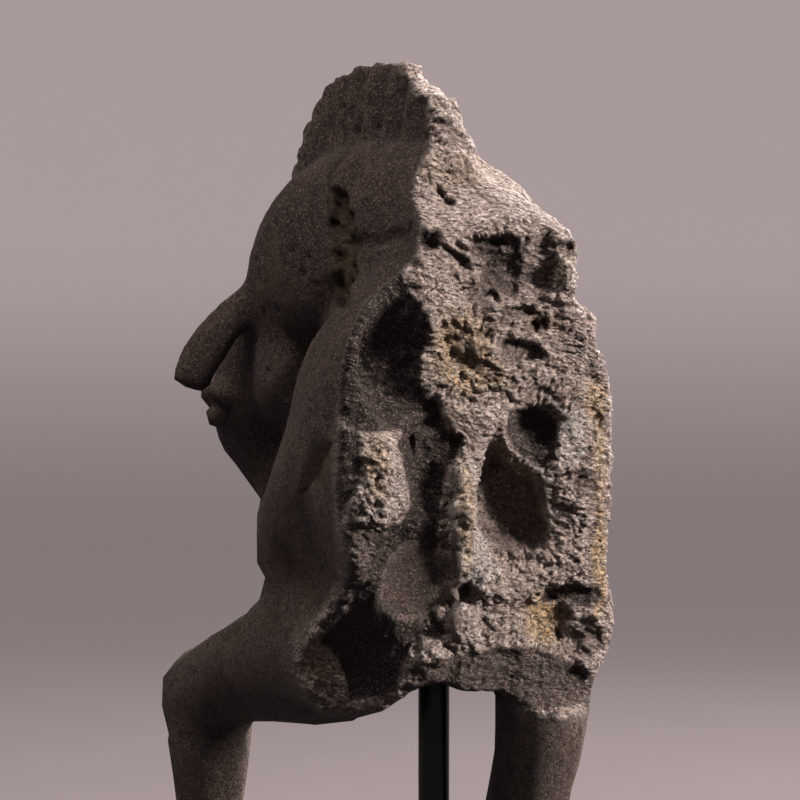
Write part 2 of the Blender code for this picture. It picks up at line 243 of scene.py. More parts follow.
def in_parts(points):
    """Left, ahead and up of points in metres, as one column each."""
    return np.stack(
        [points[:, 0] / PART, (BREAK_Y - points[:, 1]) / PART, (points[:, 2] - SOLE_Z) / PART],
        axis=1,
    )


def across_of(spots):
    """How far to the right of the break's middle the photograph shows each place in parts."""
    return SIGHT_RIGHT.x * spots[:, 0] - SIGHT_RIGHT.y * spots[:, 1]


# The break as the CAD source has it, as left, up, half width, half height and depth

HOLLOWS = [
    (38, 303, 12, 24, 15),
    (24, 285, 6, 6, 9),
    (-5, 337, 21, 15, 9),
    (13, 366, 4, 3, 6),
    (19, 351, 4, 4, 8),
    (2, 327, 5, 5, 6),
    (-24, 318, 4, 4, 7),
    (10, 307, 9, 12, 9),
    (22, 264, 9, 15, 10),
    (-23, 279, 11, 10, 11),
    (-14, 246, 18, 22, 23),
    (-7, 266, 7, 12, 12),
    (28, 222, 18, 24, 14),
    (-28, 206, 13, 11, 10),
    (9, 217, 3.5, 3.5, 7),
]
RIDGES = [
    (43, 258, 9, 20, 6),
    (8, 246, 6, 22, 6),
    (26, 320, 5, 16, 5),
    (-46, 262, 7, 26, 3),
    (-3, 219, 14, 6, 4),
]


def break_ahead(left, up):
    """How far ahead of its plane the break lies, in parts."""
    depth = -3.0 + 12.0 * ease(-50, 50, left)
    depth += 17.0 * ease(348, 374, up) + 6.0 * ease(380, 402, up) + 20.0 * ease(401, 412, up)
    depth += 34.0 * ease(28, 58, left) * (1.0 - ease(186, 234, up))
    depth += 14.0 * ease(370, 383, up) * (1.0 - ease(-20, -8, left))
    depth += 0.6 * np.clip(left, -8.0, 10.0) * ease(374, 388, up)
    slope = (up - 350) - 0.8 * (left + 40)
    depth += 8.0 * ease(-6, 10, slope) * (1.0 - ease(-8, 4, left))
    depth -= 40.0 * (1.0 - ease(152, 180, up)) * (1.0 - ease(-14, 0, left))
    for hollow_left, hollow_up, wide, high, deep in HOLLOWS:
        away = np.hypot((left - hollow_left) / wide, (up - hollow_up) / high)
        depth += deep * (1.0 - ease(0.35, 1.25, away))
    for ridge_left, ridge_up, wide, high, tall in RIDGES:
        away = np.hypot((left - ridge_left) / wide, (up - ridge_up) / high)
        depth -= tall * (1.0 - ease(0.1, 1.3, away))
    return depth


def nearness_to_break(spots):
    """1 on the broken face, falling to 0 within a finger's breadth of it."""
    left, ahead, up = spots.T
    off = np.abs(ahead - break_ahead(left, up))
    return (1.0 - ease(5.5, 10.0, off)) * ease(150, 160, up) * (1.0 - ease(58, 66, ahead))


# How much of each of these hollows the finer forms take back again
TAKEN_BACK = [0.4, 0.4, 0.5, 0.5, 0.6, 0.3, 0.3, 0.5, 0.4, 0.2, 0.3, 0.2, 0.8, 0.5, 0.4]


def refilled(spots):
    """How much nearer the camera the hollows are taken back, in parts."""
    lift = np.zeros(len(spots))
    for share, (hollow_left, hollow_up, wide, high, deep) in zip(TAKEN_BACK, HOLLOWS):
        away = np.hypot((spots[:, 0] - hollow_left) / wide, (spots[:, 2] - hollow_up) / high)
        lift += share * deep * (1.0 - ease(0.35, 1.25, away))
    return lift


# Finer hollows (positive) and lumps (negative) of the break as the photograph shows them:
# across, up, half width, half height, turn in degrees, depth

DENTS = {
    "plate pit, upper limb": (-18.4, 366.6, 1.5, 2.9, 35, 3.5),
    "plate pit, lower limb": (-15.8, 362.9, 3.3, 1.4, -12, 3.5),
    "cleft below the plate": (-21.4, 349.0, 3.2, 3.8, -20, 2.0),
    "step under the plate": (-1.1, 348.3, 9.5, 2.4, -4, 3.2),
    "left flake shadow": (-13.0, 343.5, 5.0, 1.3, -38, 2.2),
    "second flake shadow": (-11.5, 341.0, 4.2, 2.0, -35, 2.5),
    "recess": (4.5, 335.5, 9.5, 8.0, -10, 2.0),
    "rough of the recess": (19.0, 338.0, 7.0, 11.0, 0, 1.6),
    "notch on the right": (28.5, 346.0, 4.0, 2.6, 5, 2.0),
    "brown overhang": (12.5, 322.3, 7.0, 2.0, -6, 3.6),
    "side hole": (16.9, 316.4, 2.0, 3.6, 5, 6.0),
    "side slit": (20.8, 316.6, 1.1, 3.4, 5, 3.5),
    "ledge hollow": (0.2, 327.4, 3.6, 2.6, -30, 4.0),
    "ochre hollow": (-7.4, 303.8, 2.2, 4.4, 20, 1.8),
    "ochre pit one": (-17.3, 311.5, 1.6, 2.2, 10, 2.2),
    "ochre pit two": (-14.3, 307.2, 2.2, 1.6, -10, 2.4),
    "ochre pit three": (-11.3, 298.2, 1.5, 1.5, 0, 2.0),
    "slanting recess": (11.8, 307.5, 10.0, 4.6, -16, 4.2),
    "wrinkle above the lip": (-1.5, 291.8, 8.5, 1.6, 3, 2.6),
    "shoulder pit": (-36.5, 306.0, 9.0, 20.0, 6, 1.5),
    "shoulder pit's depth": (-29.5, 311.0, 3.5, 14.0, -4, 2.0),
    "pit foot": (-22.5, 284.5, 4.2, 6.0, 0, 2.5),
    "slot": (-30.0, 272.2, 1.6, 5.2, 3, 4.0),
    "middle recess": (-15.5, 271.0, 6.5, 6.4, 0, 1.5),
    "middle recess below": (-24.0, 255.5, 7.0, 9.5, -8, 1.5),
    "right pit": (15.8, 276.5, 9.3, 9.0, -14, 2.0),
    "great pit": (9.6, 247.5, 11.0, 18.0, 20, 1.5),
    "great pit's apex": (1.6, 264.5, 3.0, 7.5, 14, 3.0),
    "great pit's floor": (14.0, 240.0, 6.5, 8.0, 15, 2.0),
    "small hole": (-10.0, 217.3, 2.7, 3.4, 10, 5.0),
    "shade over the bowl": (29.0, 214.5, 11.0, 3.8, 6, 5.0),
    "ochre bowl": (22.5, 205.5, 9.0, 9.0, 20, 2.0),
    "elbow slot": (33.0, 184.4, 2.6, 1.1, 12, 3.0),
    "elbow slit": (27.0, 198.0, 1.2, 3.6, 25, 2.2),
    "ridge pit one": (-47.2, 260.8, 1.3, 2.0, 0, 2.2),
    "ridge pit two": (-42.4, 260.6, 1.3, 2.4, -15, 2.4),
    "ridge pit three": (-38.0, 258.2, 1.2, 1.8, 10, 2.0),
    "elbow ridge": (37.5, 205.4, 7.0, 1.3, 3, -2.6),
    "elbow upper ridge": (40.5, 210.8, 4.6, 1.3, 14, -2.2),
    "elbow lump": (38.2, 194.8, 3.6, 2.4, 20, -2.4),
    "elbow foot ridge": (37.5, 188.8, 4.0, 1.2, 28, -2.2),
    "lump by the small hole": (-14.2, 216.0, 2.4, 2.2, -30, -2.8),
    "pale block": (29.2, 336.4, 3.2, 6.4, 0, -2.0),
    "left lower ridge": (-49.5, 228.0, 4.0, 14.0, 0, -2.4),
    "low lump": (-10.5, 205.0, 6.0, 8.0, 20, -2.6),
    "lowest lump": (-21.0, 190.5, 7.0, 7.0, 0, -2.2),
}

DENT_GAIN = 1.25

# Seams as a depth, a half width and the places they run through, across and up
SEAMS = [
    (2.0, 1.3, [(21.8, 352.0), (24.8, 345.3), (24.8, 337.8), (22.9, 330.3)]),
    (-2.0, 1.5, [(-18.8, 350.5), (-12.0, 343.5), (-6.0, 340.6), (3.8, 342.6), (10.5, 339.6)]),
    (-1.8, 1.2, [(-9.0, 338.8), (-2.0, 330.5), (2.0, 324.0), (10.0, 323.9)]),
    (1.6, 1.0, [(-19.9, 337.8), (-13.1, 334.0), (-8.0, 327.0), (-6.2, 322.0)]),
    (1.8, 1.2, [(-11.3, 290.9), (-3.8, 287.9), (5.6, 290.1), (9.4, 287.1)]),
    (1.6, 1.0, [(-4.1, 258.5), (-4.5, 247.0), (-3.0, 236.0), (0.5, 226.5)]),
    (1.4, 0.9, [(-30.0, 275.9), (-31.5, 268.4), (-27.8, 262.8)]),
    (1.6, 0.9, [(-56.0, 185.0), (-52.5, 191.0), (-50.0, 197.5)]),
    (1.4, 0.8, [(-54.0, 176.5), (-52.0, 183.5)]),
    (1.4, 0.8, [(-58.5, 178.5), (-57.0, 185.0)]),
]


def from_line(across, up, places):
    """The distance of each place to the line through places."""
    nearest = np.full(len(across), FAR_OFF)
    for (first_across, first_up), (last_across, last_up) in zip(places, places[1:]):
        run = np.array([last_across - first_across, last_up - first_up])
        share = ((across - first_across) * run[0] + (up - first_up) * run[1]) / (run @ run)
        share = np.clip(share, 0.0, 1.0)
        away = np.hypot(across - first_across - share * run[0], up - first_up - share * run[1])
        nearest = np.minimum(nearest, away)
    return nearest


def fine_relief(spots):
    """How much farther from the camera the photograph's finer forms lie, in parts."""
    warp = np.stack(
        [1.5 * layered(spots, 6.0, 3, 11), 1.5 * layered(spots, 6.0, 3, 31)], axis=1
    )
    across = across_of(spots) + warp[:, 0]
    up = spots[:, 2] + warp[:, 1]
    depth = np.zeros(len(spots))
    for dent_across, dent_up, wide, high, turn, deep in DENTS.values():
        cosine = math.cos(math.radians(turn))
        sine = math.sin(math.radians(turn))
        along = ((across - dent_across) * cosine + (up - dent_up) * sine) / wide
        over = ((up - dent_up) * cosine - (across - dent_across) * sine) / high
        lean = 1.0 + np.clip(0.3 * along + 0.35 * over, -0.5, 0.5)
        depth += DENT_GAIN * deep * lean * (1.0 - ease(0.62, 1.1, np.hypot(along, over)))
    for deep, wide, places in SEAMS:
        depth += deep * (1.0 - ease(0.0, 1.3, from_line(across, up, places) / wide))
    return depth


# Depth of the chipped faces of the break, broad and narrow, and of the creases between them
BROAD_CHIPS = 1.2
NARROW_CHIPS = 0.75
CHIP_CREASES = 0.8


def crags(spots, rough):
    """Chipped faces and creases of the broken stone, away from the camera, in parts."""
    bent = spots + 2.4 * np.stack([layered(spots, 12.0, 3, seed) for seed in (51, 55, 59)], axis=1)
    depth = BROAD_CHIPS * facets(bent * np.array([1.0, 1.0, 1.25]), 10.5, 61)
    depth += NARROW_CHIPS * facets(bent * np.array([0.85, 1.0, 1.35]), 5.0, 81)
    depth -= CHIP_CREASES * layered(bent, 6.5, 2, 95, ridged=True)
    return depth * (0.22 + 0.78 * rough)


# Height of one ledge of the layered stone, how deep it is cut and how much the ledges slant
LEDGE_PITCH = 8.5
LEDGE_DEPTH = 2.0
LEDGE_SLANT = 0.16


def ledges(spots):
    """Overhanging ledges of the layered stone, which run across the break, in parts."""
    across = across_of(spots)
    layer = (spots[:, 2] + LEDGE_SLANT * across + 7.0 * layered(spots, 30.0, 4, 141)) / LEDGE_PITCH
    step = layer - np.floor(layer)
    fades = ease(-0.12, 0.3, layered(spots, 16.0, 2, 151)) * ease(-32.0, -20.0, across)
    return LEDGE_DEPTH * step * step * ease(0.0, 0.12, 1.0 - step) * fades


# Fans of striations round the break's hollows: across, up, reach and strength
FANS = [
    (8.0, 252.0, 34.0, 1.0),
    (16.0, 278.0, 20.0, 0.7),
    (5.0, 337.0, 26.0, 0.5),
    (-8.0, 303.0, 22.0, 0.8),
    (24.0, 208.0, 20.0, 0.5),
    (-30.0, 230.0, 32.0, 0.6),
    (-20.0, 262.0, 18.0, 0.6),
    (-70.0, 395.0, 52.0, 0.8),
    (60.0, 310.0, 40.0, 0.6),
]


def fan_relief(spots):
    """Fine ridges that run out from the hollows, in parts."""
    across = across_of(spots)
    total = np.zeros(len(spots))
    whole = np.full(len(spots), 0.25)
    for index, (fan_across, fan_up, reach, strength) in enumerate(FANS):
        over = across - fan_across
        rise = spots[:, 2] - fan_up
        away = np.hypot(over, rise)
        turn = np.arctan2(rise, over)
        weight = strength * ease(0.12, 0.4, away / reach) * (1.0 - ease(0.8, 1.5, away / reach))
        wander = 0.12 * waves(spots, 8.0, 90 + index)
        arc = (turn + wander) * 0.55 * reach
        fanned = np.stack([arc, away / 5.5, np.full(len(spots), 3.0 * index)], axis=1)
        ridge = 1.0 - 2.4 * np.abs(waves(fanned, 1.7, 71 + index))
        ridge -= 0.9 * np.abs(waves(fanned * 2.1, 1.7, 271 + index))
        total += weight * ridge
        whole += weight
    return total / whole


# How high the crumbs of the break rise, by kind
CRUMB_CHIPS = 0.42
CRUMB_FLAKES = 0.45
CRUMB_FANS = 1.25


def crumb_relief(spots, coarse):
    """Crumbs of the broken stone, in parts; coarse is 0 where it lies smooth."""
    bent = spots + 1.1 * np.stack([layered(spots, 3.6, 2, seed) for seed in (101, 105, 109)], axis=1)
    chipped = facets(bent * np.array([0.8, 1.0, 1.3]), 2.5, 111)
    flakes = layered(bent * np.array([0.7, 1.0, 1.35]), 3.6, 3, 121, ridged=True)
    lift = CRUMB_CHIPS * chipped + CRUMB_FLAKES * flakes + CRUMB_FANS * fan_relief(spots)
    return lift * (0.3 + 0.7 * coarse)


# Swelling, fine sand and bites of the worn skin
SWELL_BROAD = 0.5
SWELL_NARROW = 0.4
SAND_HEIGHT = 0.2
BITE_DEPTH = 0.8


def skin_relief(spots):
    """The worn, sandy skin of the stone, in parts."""
    swell = SWELL_BROAD * layered(spots, 24.0, 2, 201) + SWELL_NARROW * layered(spots, 6.0, 3, 211)
    nearest, own = grains(spots + 1.2 * layered(spots, 4.0, 2, 215)[:, None], 7.0, 221)
    bites = (own > 0.7) * (1.0 - ease(0.08, 0.36, nearest)) * (0.4 + own)
    sand = SAND_HEIGHT * waves(spots, 2.2, 231)
    return swell + sand - BITE_DEPTH * bites


# The crest that the mane stands on: ahead, up and the height of the hair, as in the CAD source
CREST = [
    (8, 383, 27),
    (44, 387, 33),
    (84, 388, 35),
    (106, 383, 31.5),
    (122, 372, 20.5),
    (136, 356, 11),
    (149, 340, 7),
]
LOCK_GAPS = 17

# Where the mane is looked for: above this height and within this distance of the middle
MANE_FOOT = 325
MANE_REACH = 24
HAIR_REACH = 22

# The mane's line as a share of the hair's height, and how much of the tips over it is taken off
MANE_LINE = 0.88
TIPS_TAKEN = 0.88


def eased_path(stations, steps):
    """Rows of numbers joined by a Catmull-Rom curve, with steps rows to each stretch."""
    rows = np.array(stations, float)
    ends = np.vstack([2 * rows[0] - rows[1], rows, 2 * rows[-1] - rows[-2]])
    path = []
    for first, a, b, last in zip(ends, ends[1:], ends[2:], ends[3:]):
        for share in np.arange(steps) / steps:
            slope = 0.5 * (b - first) * share
            bend = 0.5 * (2 * first - 5 * a + 4 * b - last) * share**2
            twist = 0.5 * (3 * a - first - 3 * b + last) * share**3
            path.append(a + slope + bend + twist)
    path.append(rows[-1])
    return np.array(path)


def mane_place(spots):
    """Each place's share of the way along the crest, its height, the hair's height and the upward way."""
    path = eased_path(CREST, 12)
    run = np.gradient(path[:, :2], axis=0)
    run /= np.linalg.norm(run, axis=1)[:, None]
    rise = np.stack([-run[:, 1], run[:, 0]], axis=1)
    row = np.zeros(len(spots), int)
    best = np.full(len(spots), FAR_OFF)
    for index, place in enumerate(path):
        away = np.hypot(spots[:, 1] - place[0], spots[:, 2] - place[1])
        nearer = away < best
        row = np.where(nearer, index, row)
        best = np.where(nearer, away, best)
    off = spots[:, 1:] - path[row, :2]
    height = np.sum(off * rise[row], axis=1)
    sideways = np.sum(off * run[row], axis=1)
    pace = np.linalg.norm(np.gradient(path[:, :2], axis=0), axis=1)
    share = (row + sideways / pace[row]) / (len(path) - 1)
    return share, height, path[row, 2], rise[row]


def level_mane(form):
    """Takes the round tips off the mane's locks, to leave one uneven, broken line."""
    points = points_of(form)
    spots = in_parts(points)
    mane = (spots[:, 2] > MANE_FOOT) & (np.abs(spots[:, 0]) < MANE_REACH) & (spots[:, 1] > 0)
    _, height, tall, rise = mane_place(spots[mane])
    line = tall * (MANE_LINE + 0.06 * layered(spots[mane], 12.0, 4, 321))
    lowered = TIPS_TAKEN * np.clip(height - line, 0.0, None)
    points[mane, 1] += lowered * rise[:, 0] * PART
    points[mane, 2] -= lowered * rise[:, 1] * PART
    put_points(form, points)


def mane_relief(spots):
    """Gaps between the locks and strands along them, in parts."""
    share, height, tall, _ = mane_place(spots)
    reach = np.clip(height / tall, 0.0, 1.2)
    curl = (3.0 - 5.0 * share) * reach * reach
    share = share + curl / 175.0
    in_mane = ease(-0.1, 0.12, height / tall) * (1.0 - ease(14, 20, np.abs(spots[:, 0])))
    in_mane *= ease(-0.02, 0.0, share) * (1.0 - ease(1.0, 1.03, share))
    lock = share * LOCK_GAPS + 0.5
    gap = np.abs(lock - np.round(lock))
    wander = 0.3 * waves(spots, 9.0, 301)
    strands = np.sin(2 * math.pi * (lock * 2.0 + wander + 0.35 * reach))
    tips = ease(0.72, 0.95, reach)
    relief = -2.0 * (1.0 - ease(0.0, 0.3, gap)) * ease(0.05, 0.4, reach + 0.2) * (1.0 - tips)
    relief += 0.45 * strands * (1.0 - tips) + (0.75 + 0.9 * tips) * layered(spots, 5.0, 3, 311)
    return relief * in_mane


# Cracks in the left skin as the photograph shows them: depth, half width and places, across and up
CRACKS = [
    (1.8, 1.0, [(-52.0, 390.0), (-56.3, 382.8), (-61.1, 374.5), (-61.1, 364.0)]),
    (3.2, 3.6, [(-57.5, 366.0), (-57.0, 351.0), (-55.4, 338.0), (-56.6, 326.0)]),
    (2.4, 1.3, [(-53.0, 360.0), (-51.5, 346.0), (-52.0, 334.0)]),
    (2.6, 1.2, [(-60.0, 274.0), (-63.8, 268.4), (-67.5, 259.0), (-75.0, 247.8), (-82.5, 236.5)]),
    (1.5, 2.6, [(-63.0, 271.0), (-65.5, 262.0)]),
    (1.6, 0.9, [(-91.9, 208.4), (-96.8, 199.0), (-103.1, 191.5)]),
    (1.4, 0.8, [(-104.3, 180.3), (-101.3, 172.8)]),
    (1.5, 0.9, [(-72.0, 226.0), (-66.0, 219.0), (-61.0, 206.0)]),
    (1.2, 0.8, [(-79.0, 236.0), (-77.0, 222.0), (-80.0, 209.0)]),
]


# Creases between the masses of the left side, in the same form
CREASES = [
    (2.6, 7.0, [(-60.5, 330.0), (-68.5, 309.0), (-78.0, 289.0), (-85.5, 272.0), (-90.0, 259.0)]),
    (1.6, 4.0, [(-52.0, 347.5), (-42.0, 349.0), (-33.0, 351.0)]),
    (-1.2, 4.0, [(-60.5, 274.0), (-70.0, 256.0), (-80.0, 238.0)]),
    (1.4, 5.0, [(-98.0, 210.0), (-92.0, 216.0), (-86.5, 219.0)]),
]


def crack_relief(spots):
    """Open cracks in the left skin, in parts, and where they are."""
    warp = 2.6 * np.stack([layered(spots, 9.0, 4, 401), layered(spots, 9.0, 4, 411)], axis=1)
    across = across_of(spots) + warp[:, 0]
    up = spots[:, 2] + warp[:, 1]
    seen = ease(8.0, 14.0, spots[:, 0])
    relief = np.zeros(len(spots))
    where = np.zeros(len(spots))
    for deep, wide, places in CRACKS:
        away = from_line(across, up, places) / wide
        relief -= seen * deep * (1.0 - ease(0.45, 1.15, away))
        where = np.maximum(where, seen * (1.0 - ease(0.7, 1.5, away)))
    for deep, wide, places in CREASES:
        relief -= seen * deep * (1.0 - ease(0.0, 1.2, from_line(across, up, places) / wide))
    rubble = 1.2 * facets(spots, 3.2, 421)
    return relief + where * rubble, where


# Lines cut into the face, or raised on it (negative), as a depth, a half width and places left,
# ahead and up; they are cut on both sides and followed in profile
FACE_LINES = [
    (-2.2, 2.6, [(24.0, 153.0, 287.0), (27.0, 160.0, 290.0), (28.0, 168.0, 288.0), (24.0, 175.0, 282.0)]),
    (1.1, 1.3, [(25.0, 153.0, 281.0), (28.0, 159.0, 284.5), (27.0, 167.0, 282.5), (25.0, 172.0, 276.0)]),
    (1.0, 1.2, [(25.0, 153.0, 281.0), (27.0, 158.0, 273.5), (26.0, 166.0, 272.0), (25.0, 172.0, 276.0)]),
    (1.5, 1.3, [(6.0, 151.0, 221.0), (12.0, 143.0, 227.0), (13.0, 138.0, 236.0), (13.0, 136.0, 243.0)]),
    (1.2, 3.0, [(19.0, 130.0, 272.0), (17.0, 138.0, 258.0), (13.5, 142.0, 247.0)]),
    (1.5, 3.2, [(22.0, 106.0, 312.0), (24.0, 103.0, 298.0), (22.0, 107.0, 282.0), (17.0, 116.0, 270.0)]),
]

# In profile, left and right count for little
PROFILE = np.array([0.2, 1.0, 1.0])

# The hollow of the left ear, and its depth and half width
EAR_HOLLOW = [(26.0, 144.0, 323.0), (36.0, 149.0, 311.0), (44.0, 151.0, 299.0)]
EAR_DEPTH = 2.2
EAR_WIDTH = 3.6

# The face lies farther ahead and higher than these, and the legs lie lower than LEG_TOP
FACE_AHEAD = 95
FACE_FOOT = 220
LEG_TOP = 180

# Eye and nostril of the left side: the ball's rise, and the nostril's rim, its height and the pit
EYE = (28.0, 162.0, 278.5)
EYE_RISE = 1.8
NOSTRIL = (12.5, 152.5, 233.0)
NOSTRIL_RIM = 4.6
NOSTRIL_RISE = 0.9
NOSTRIL_PIT = 2.6

# The furrow down the breast
FURROW_DEPTH = 1.6

# Lines down the legs, in the form of the face's lines
LEG_LINES = [
    (0.9, 2.2, [(-39.0, 15.0, 98.0), (-37.0, 24.0, 54.0)]),
    (0.9, 2.2, [(-19.0, 15.0, 98.0), (-19.0, 24.0, 54.0)]),
    (0.9, 2.2, [(48.0, 143.0, 148.0), (47.0, 137.0, 95.0)]),
    (0.9, 2.2, [(28.0, 143.0, 148.0), (29.0, 137.0, 95.0)]),
]

# Creases round a leg: height up the standing leg, or run down the raised one, half width, depth
STANDING_CREASES = [
    (20.5, 1.3, 1.1), (37.0, 2.4, 0.7), (56.0, 2.4, 0.7), (97.0, 2.6, 0.9), (122.0, 2.6, 0.8),
]

# The raised leg's lower end runs from its fetlock to its hoof
RAISED_FETLOCK = (38.0, 141.0, 84.0)
RAISED_HOOF = (38.0, 111.0, 37.0)
RAISED_CREASES = [
    (34.0, 1.3, 1.1), (-11.0, 2.4, 0.7), (9.0, 2.2, 0.7), (-64.0, 2.6, 0.9), (-88.0, 2.6, 0.8),
]


def from_path(spots, places):
    """The distance of each place to the line through places, all as left, ahead and up."""
    nearest = np.full(len(spots), FAR_OFF)
    for first, last in zip(np.array(places), np.array(places)[1:]):
        run = last - first
        share = np.clip((spots - first) @ run / (run @ run), 0.0, 1.0)
        nearest = np.minimum(nearest, np.linalg.norm(spots - first - share[:, None] * run, axis=1))
    return nearest


def figure_relief(spots, facing_ahead):
    """Eyes, nostrils, mouth and ears, the legs' creases and hoof edges and the breast's furrow."""
    lift = np.zeros(len(spots))
    face = (spots[:, 1] > FACE_AHEAD) & (spots[:, 2] > FACE_FOOT)
    one_side = spots[face]
    one_side[:, 0] = np.abs(one_side[:, 0])
    carved = np.zeros(len(one_side))
    for deep, wide, places in FACE_LINES:
        off = from_path(one_side * PROFILE, np.array(places) * PROFILE)
        carved -= deep * (1.0 - ease(0.3, 1.6, off / wide)) * ease(4.0, 9.0, one_side[:, 0])
    carved -= EAR_DEPTH * (1.0 - ease(0.3, 1.6, from_path(one_side, EAR_HOLLOW) / EAR_WIDTH))
    eye = np.linalg.norm((one_side - np.array(EYE)) * PROFILE, axis=1)
    carved += EYE_RISE * (1.0 - ease(2.2, 5.6, eye)) * ease(14.0, 19.0, one_side[:, 0])
    nostril = np.linalg.norm((one_side - np.array(NOSTRIL)) * np.array([1.0, 1.0, 0.8]), axis=1)
    carved += NOSTRIL_RISE * (1.0 - ease(0.0, 1.6, np.abs(nostril - NOSTRIL_RIM)))
    carved -= NOSTRIL_PIT * (1.0 - ease(1.2, 3.8, nostril))
    lift[face] += carved
    low = (spots[:, 2] < LEG_TOP) & ~face
    legs = spots[low]
    carved = np.zeros(len(legs))
    for deep, wide, places in LEG_LINES:
        carved -= deep * (1.0 - ease(0.2, 2.2, from_path(legs, places) / wide))
    standing = legs[:, 0] < 0
    down = np.array(RAISED_HOOF) - np.array(RAISED_FETLOCK)
    along = (legs - np.array(RAISED_FETLOCK)) @ (down / np.linalg.norm(down))
    raised = (legs[:, 0] > 10) & (legs[:, 1] > 95)
    for height, wide, deep in STANDING_CREASES:
        off = np.abs(legs[:, 2] - height + 0.12 * (legs[:, 1] - 25.0))
        carved -= standing * deep * (1.0 - ease(0.2, 1.4, off / wide))
    for height, wide, deep in RAISED_CREASES:
        carved -= raised * deep * (1.0 - ease(0.2, 1.4, np.abs(along - height) / wide))
    lift[low] += carved
    furrow = (1.0 - ease(0.0, 4.5, np.abs(spots[:, 0] + 1.0))) * ease(0.25, 0.6, facing_ahead)
    lift -= FURROW_DEPTH * furrow * ease(172, 190, spots[:, 2]) * (1.0 - ease(232, 246, spots[:, 2])) * ~face
    return lift


# Smooth places of the break: across, up, half width, half height, strength
SMOOTH_ZONES = [
    (-8.0, 366.0, 30.0, 15.0, 0.8),
    (33.5, 276.0, 7.0, 12.0, 0.9),
    (29.5, 336.0, 4.0, 8.0, 0.8),
    (-6.0, 282.5, 14.0, 6.0, 0.85),
    (-62.0, 192.0, 9.0, 12.0, 0.75),
    (-30.0, 212.0, 16.0, 9.0, 0.5),
    (-28.0, 341.0, 5.0, 7.0, 0.6),
    (22.0, 206.0, 8.0, 9.0, 0.55),
]


# Colour zones on the break: across, up, half width, half height, strength
OCHRE_ZONES = [
    (-10.0, 308.0, 12.0, 15.0, 0.75),
    (-6.0, 298.0, 14.0, 7.0, 0.6),
    (22.0, 205.0, 8.5, 9.5, 1.0),
    (19.0, 206.0, 6.0, 9.0, 0.6),
    (42.5, 226.0, 3.0, 24.0, 1.0),
    (42.5, 268.0, 3.0, 26.0, 0.55),
    (41.5, 288.0, 5.0, 8.0, 0.7),
    (-9.0, 245.0, 3.6, 22.0, 0.75),
    (-42.0, 266.0, 5.0, 14.0, 0.45),
    (-6.0, 376.0, 26.0, 8.0, 0.25),
    (29.0, 338.0, 4.0, 6.0, 0.3),
    (-20.0, 282.0, 6.0, 5.0, 0.4),
    (-62.0, 192.0, 9.0, 10.0, 0.4),
    (20.0, 318.0, 8.0, 5.0, 0.4),
]

